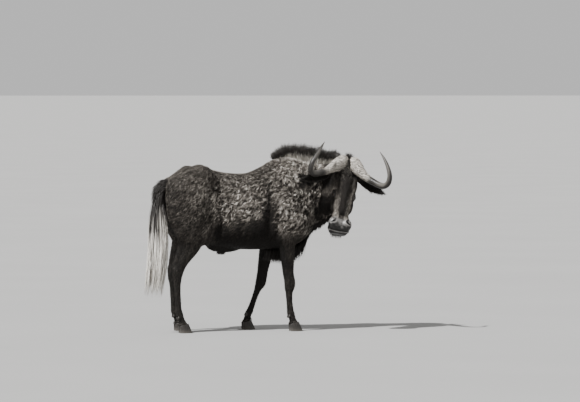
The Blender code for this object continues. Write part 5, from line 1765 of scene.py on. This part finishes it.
def tailMaterial():
    paint = Paint("tail_hair", Specular_IOR_Level=0.40)
    along, tone, pale = paint.hair()
    where = paint.place()
    height = paint.add("ShaderNodeSeparateXYZ", {}, {0: where}, 2)
    dark = (height + (tone - 0.5) * 0.22 - pale * 0.10).ramp(0.56, 0.76)
    colour = paint.mix(tone, rgb(0.64, 0.60, 0.54), rgb(0.86, 0.83, 0.77))
    grey = paint.mix(tone.ramp(0.0, 0.10), rgb(0.16, 0.15, 0.13), colour)
    colour = paint.mix(dark, grey, rgb(0.020, 0.017, 0.015))
    lines = paint.noise(paint.stretch(where, (700.0, 700.0, 60.0)), 1.0, 2.0)
    colour = paint.mix((1 - lines.ramp(0.3, 0.6)) * 0.30, colour, rgb(0.05, 0.045, 0.04))
    return paint.set(Base_Color=colour, Roughness=0.55 - tone * 0.1,
                     Normal=paint.bump(lines, 0.3, 0.001))


def hornMaterial():
    paint = Paint("horn", Specular_IOR_Level=0.24)
    inner, depth, boss = paint.hair()
    where = paint.place()
    mottle = paint.noise(where, 42.0, 5.0, 0.62, 0.6)
    crust = paint.noise(where, 210.0, 4.0, 0.6, 0.8)
    streaks = paint.noise(where, 120.0, 4.0, 0.65, 2.5)
    # depth gives painted shade in the boss's pits and painted light on its ridges
    level = mottle * 0.40 + crust * 0.60 + depth * 0.45 - 0.22
    base = paint.mix(level.ramp(0.14, 0.74), rgb(0.045, 0.040, 0.034), rgb(0.56, 0.52, 0.46))
    stem = paint.mix(streaks.ramp(0.3, 0.7), rgb(0.010, 0.009, 0.008),
                     rgb(0.036, 0.033, 0.030))
    stem = paint.mix(inner * 0.22, stem, rgb(0.30, 0.28, 0.25))
    colour = paint.mix(boss.ramp(0.05, 0.75), stem, base)
    rough = 0.32 + boss * 0.28 + crust * 0.12
    grain = crust * (boss * 0.8 + 0.2) + mottle * boss * 0.5
    return paint.set(Base_Color=colour, Roughness=rough, Normal=paint.bump(grain, 0.6, 0.0022))


def hoofMaterial():
    paint = Paint("hoof", Specular_IOR_Level=0.25)
    where = paint.place()
    height = paint.add("ShaderNodeSeparateXYZ", {}, {0: where}, 2)
    streaks = paint.noise(paint.stretch(where, (420.0, 420.0, 30.0)), 1.0, 3.0, 0.6)
    bands = paint.noise(paint.stretch(where, (20.0, 20.0, 520.0)), 1.0, 2.0)
    colour = paint.mix(streaks.ramp(0.3, 0.7), rgb(0.012, 0.011, 0.010),
                       rgb(0.045, 0.040, 0.036))
    dust = (1 - height.ramp(0.0, 0.030)) * 0.40 + streaks * 0.06
    colour = paint.mix(dust, colour, rgb(0.13, 0.118, 0.102))
    rough = 0.45 + dust * 0.35
    grain = streaks * 0.4 + bands * 0.8
    return paint.set(Base_Color=colour, Roughness=rough, Normal=paint.bump(grain, 0.5, 0.0014))


def eyeMaterial():
    paint = Paint("eye", Roughness=0.10, Specular_IOR_Level=0.35, Coat_Weight=0.25,
                  Coat_Roughness=0.02)
    x, y, z = paint.hair()
    pupil = (x * x * 5.0 + y * y * 26.0).ramp(0.7, 1.2)
    edge = (x * x + y * y).ramp(0.42, 0.62)
    rays = paint.noise(paint.place(), 700.0, 3.0)
    iris = paint.mix(rays, rgb(0.012, 0.008, 0.005), rgb(0.045, 0.028, 0.016))
    colour = paint.mix(pupil, rgb(0.002, 0.002, 0.002), iris)
    colour = paint.mix(edge, colour, rgb(0.020, 0.015, 0.012))
    return paint.set(Base_Color=colour)


def floorMaterial():
    paint = Paint("floor", Roughness=0.9, Specular_IOR_Level=0.2)
    where = paint.place()
    soft = paint.noise(where, 0.6, 3.0)
    colour = paint.mix(soft, rgb(0.285, 0.282, 0.277), rgb(0.325, 0.322, 0.316))
    return paint.set(Base_Color=colour)


def dress(piece, material):
    piece.data.materials.clear()
    piece.data.materials.append(material)


def finishHide():
    mesh = hide.data
    mesh.polygons.foreach_set("use_smooth", np.ones(len(mesh.polygons), bool))
    p = places(hide)
    bare = bareShare(p)
    wet = bare * smoothStep(-inFace(p)[:, 2], 0.40, 0.46)
    paint = np.stack([bare, wet, markingsAndPaintedLight(p)], axis=1).astype(np.float32)
    mesh.attributes.new("hair", "FLOAT_VECTOR", "POINT").data.foreach_set("vector", paint.ravel())


hide = buildSkin()
finishHide()
print("short coat")
draw = np.random.default_rng(21)
tree = treeOf(hide)
coatPieces = shortCoat()
print("long hair")
manePiece = mane(tree, draw)
coatPieces.append(coronetHair(tree, np.random.default_rng(33)))
fringePieces = fringes(tree, draw)
tailPiece = makeObject("tail_dock", tailCore())
tailPiece.data.polygons.foreach_set("use_smooth", np.ones(len(tailPiece.data.polygons), bool))
tailPaint = np.tile([0.0, 0.0, 0.12], (len(tailPiece.data.vertices), 1)).astype(np.float32)
tailStore = tailPiece.data.attributes.new("hair", "FLOAT_VECTOR", "POINT")
tailStore.data.foreach_set("vector", tailPaint.ravel())
tailStrands = tailHair(draw)

print("horns, hooves, eyes")
hideLook = hideMaterial()
coatLook = coatMaterial()
hornLook = hornMaterial()
hoofLook = hoofMaterial()
eyeLook = eyeMaterial()
lidLook = lidMaterial()
blackHair = longHair("fringe_hair", rgb(0.012, 0.0105, 0.009), rgb(0.020, 0.017, 0.015), 0.4,
                     0.3, rgb(0.050, 0.043, 0.036), (0.0, 1.0, 0.0, 0.35))
# the forelock's pale strands are painted highlights on its curls
forelockHair = longHair("forelock_hair", rgb(0.012, 0.0105, 0.009), rgb(0.022, 0.019, 0.016),
                        0.4, 0.3, rgb(0.42, 0.39, 0.34), (0.62, 0.92, 0.0, 0.85))
maneLook = maneMaterial()

dressed = []


def wear(piece, look, slot, *nodes):
    dress(piece, look)
    piece.data.transform(Matrix.Translation(shift))
    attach(piece, "root")
    if nodes:
        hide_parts(*nodes)
    dressed.append(piece)


legNodes = [f"{pair}_leg_{side}" for pair in ("fore", "hind") for side in sides]
wear(hide, hideLook, "coat", "torso", "neck", "head", "ear_right", "ear_left", *legNodes)
for piece in coatPieces:
    wear(piece, coatLook, "face_coat" if "head" in piece.name else "coat")
wear(manePiece, maneLook, "mane_coat")
for piece in fringePieces:
    wear(piece, forelockHair if "forelock" in piece.name else blackHair, "coat")
wear(tailPiece, hideLook, "tail_hair", "tail")
tailLook = tailMaterial()
wear(tailStrands, tailLook, "tail_hair")
wear(dockHair(draw), tailLook, "tail_hair")
for side in sides:
    wear(makeHorn(side), hornLook, "horn", f"horn_{side}")
    wear(makeLids(side), lidLook, "face_coat")
    wear(makeEye(side), eyeLook, "eye", f"eye_{side}")
for piece, node in hooves(tree):
    wear(piece, hoofLook, "hoof", *([node] if node else []))

print("stage")
floorSkin = bmesh.new()
bmesh.ops.create_grid(floorSkin, x_segments=8, y_segments=8, size=2000.0)
floor = makeObject("floor", floorSkin)
dress(floor, floorMaterial())
floor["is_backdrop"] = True

world = bpy.data.worlds.new("studio")
bpy.context.scene.world = world
world.use_nodes = True
world.node_tree.nodes["Background"].inputs[0].default_value = (0.83, 0.83, 0.83, 1.0)
world.node_tree.nodes["Background"].inputs[1].default_value = 0.76

lamps = {
    # the way each light shines from, its strength, and its softness
    "key": ((-0.62, -0.28, 0.84), 9.0, 0.02),
    "fill": ((0.9, -0.6, 0.5), 0.35, 0.9),
}
for name, (way, power, soft) in lamps.items():
    light = bpy.data.lights.new(name, "SUN")
    light.energy = power
    light.angle = soft
    lamp = bpy.data.objects.new(name, light)
    bpy.context.scene.collection.objects.link(lamp)
    lamp.location = Vector(way) * 5
    lamp.rotation_euler = Vector(way).to_track_quat("Z", "Y").to_euler()

view = {
    "look": Vector((0.2756, 0.9613, 0.0)).normalized(),
    "target": Vector((0.1856, -0.0533, 0.8936)),
    "distance": 24.15,
    "fall": math.radians(1.77),
    "focal": 3500.0,
    "wide": 580.0,
}
target = view["target"] + Vector((shift.x, shift.y, 0.0))
spot = target - view["look"] * view["distance"] + up * view["distance"] * math.tan(view["fall"])
lens = bpy.data.cameras.new("camera")
lens.sensor_width = 36.0
lens.sensor_fit = "HORIZONTAL"
lens.lens = 36.0 * view["focal"] / view["wide"]
lens.clip_end = 4000.0
camera = bpy.data.objects.new("camera", lens)
bpy.context.scene.collection.objects.link(camera)
camera.location = spot
camera.rotation_euler = (target - spot).to_track_quat("-Z", "Y").to_euler()
bpy.context.scene.camera = camera

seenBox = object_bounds()
seenBox = [list(seenBox[0]), list(seenBox[1])]
print("triangles", sum(sum(len(f.vertices) - 2 for f in piece.data.polygons)
                       for piece in dressed))
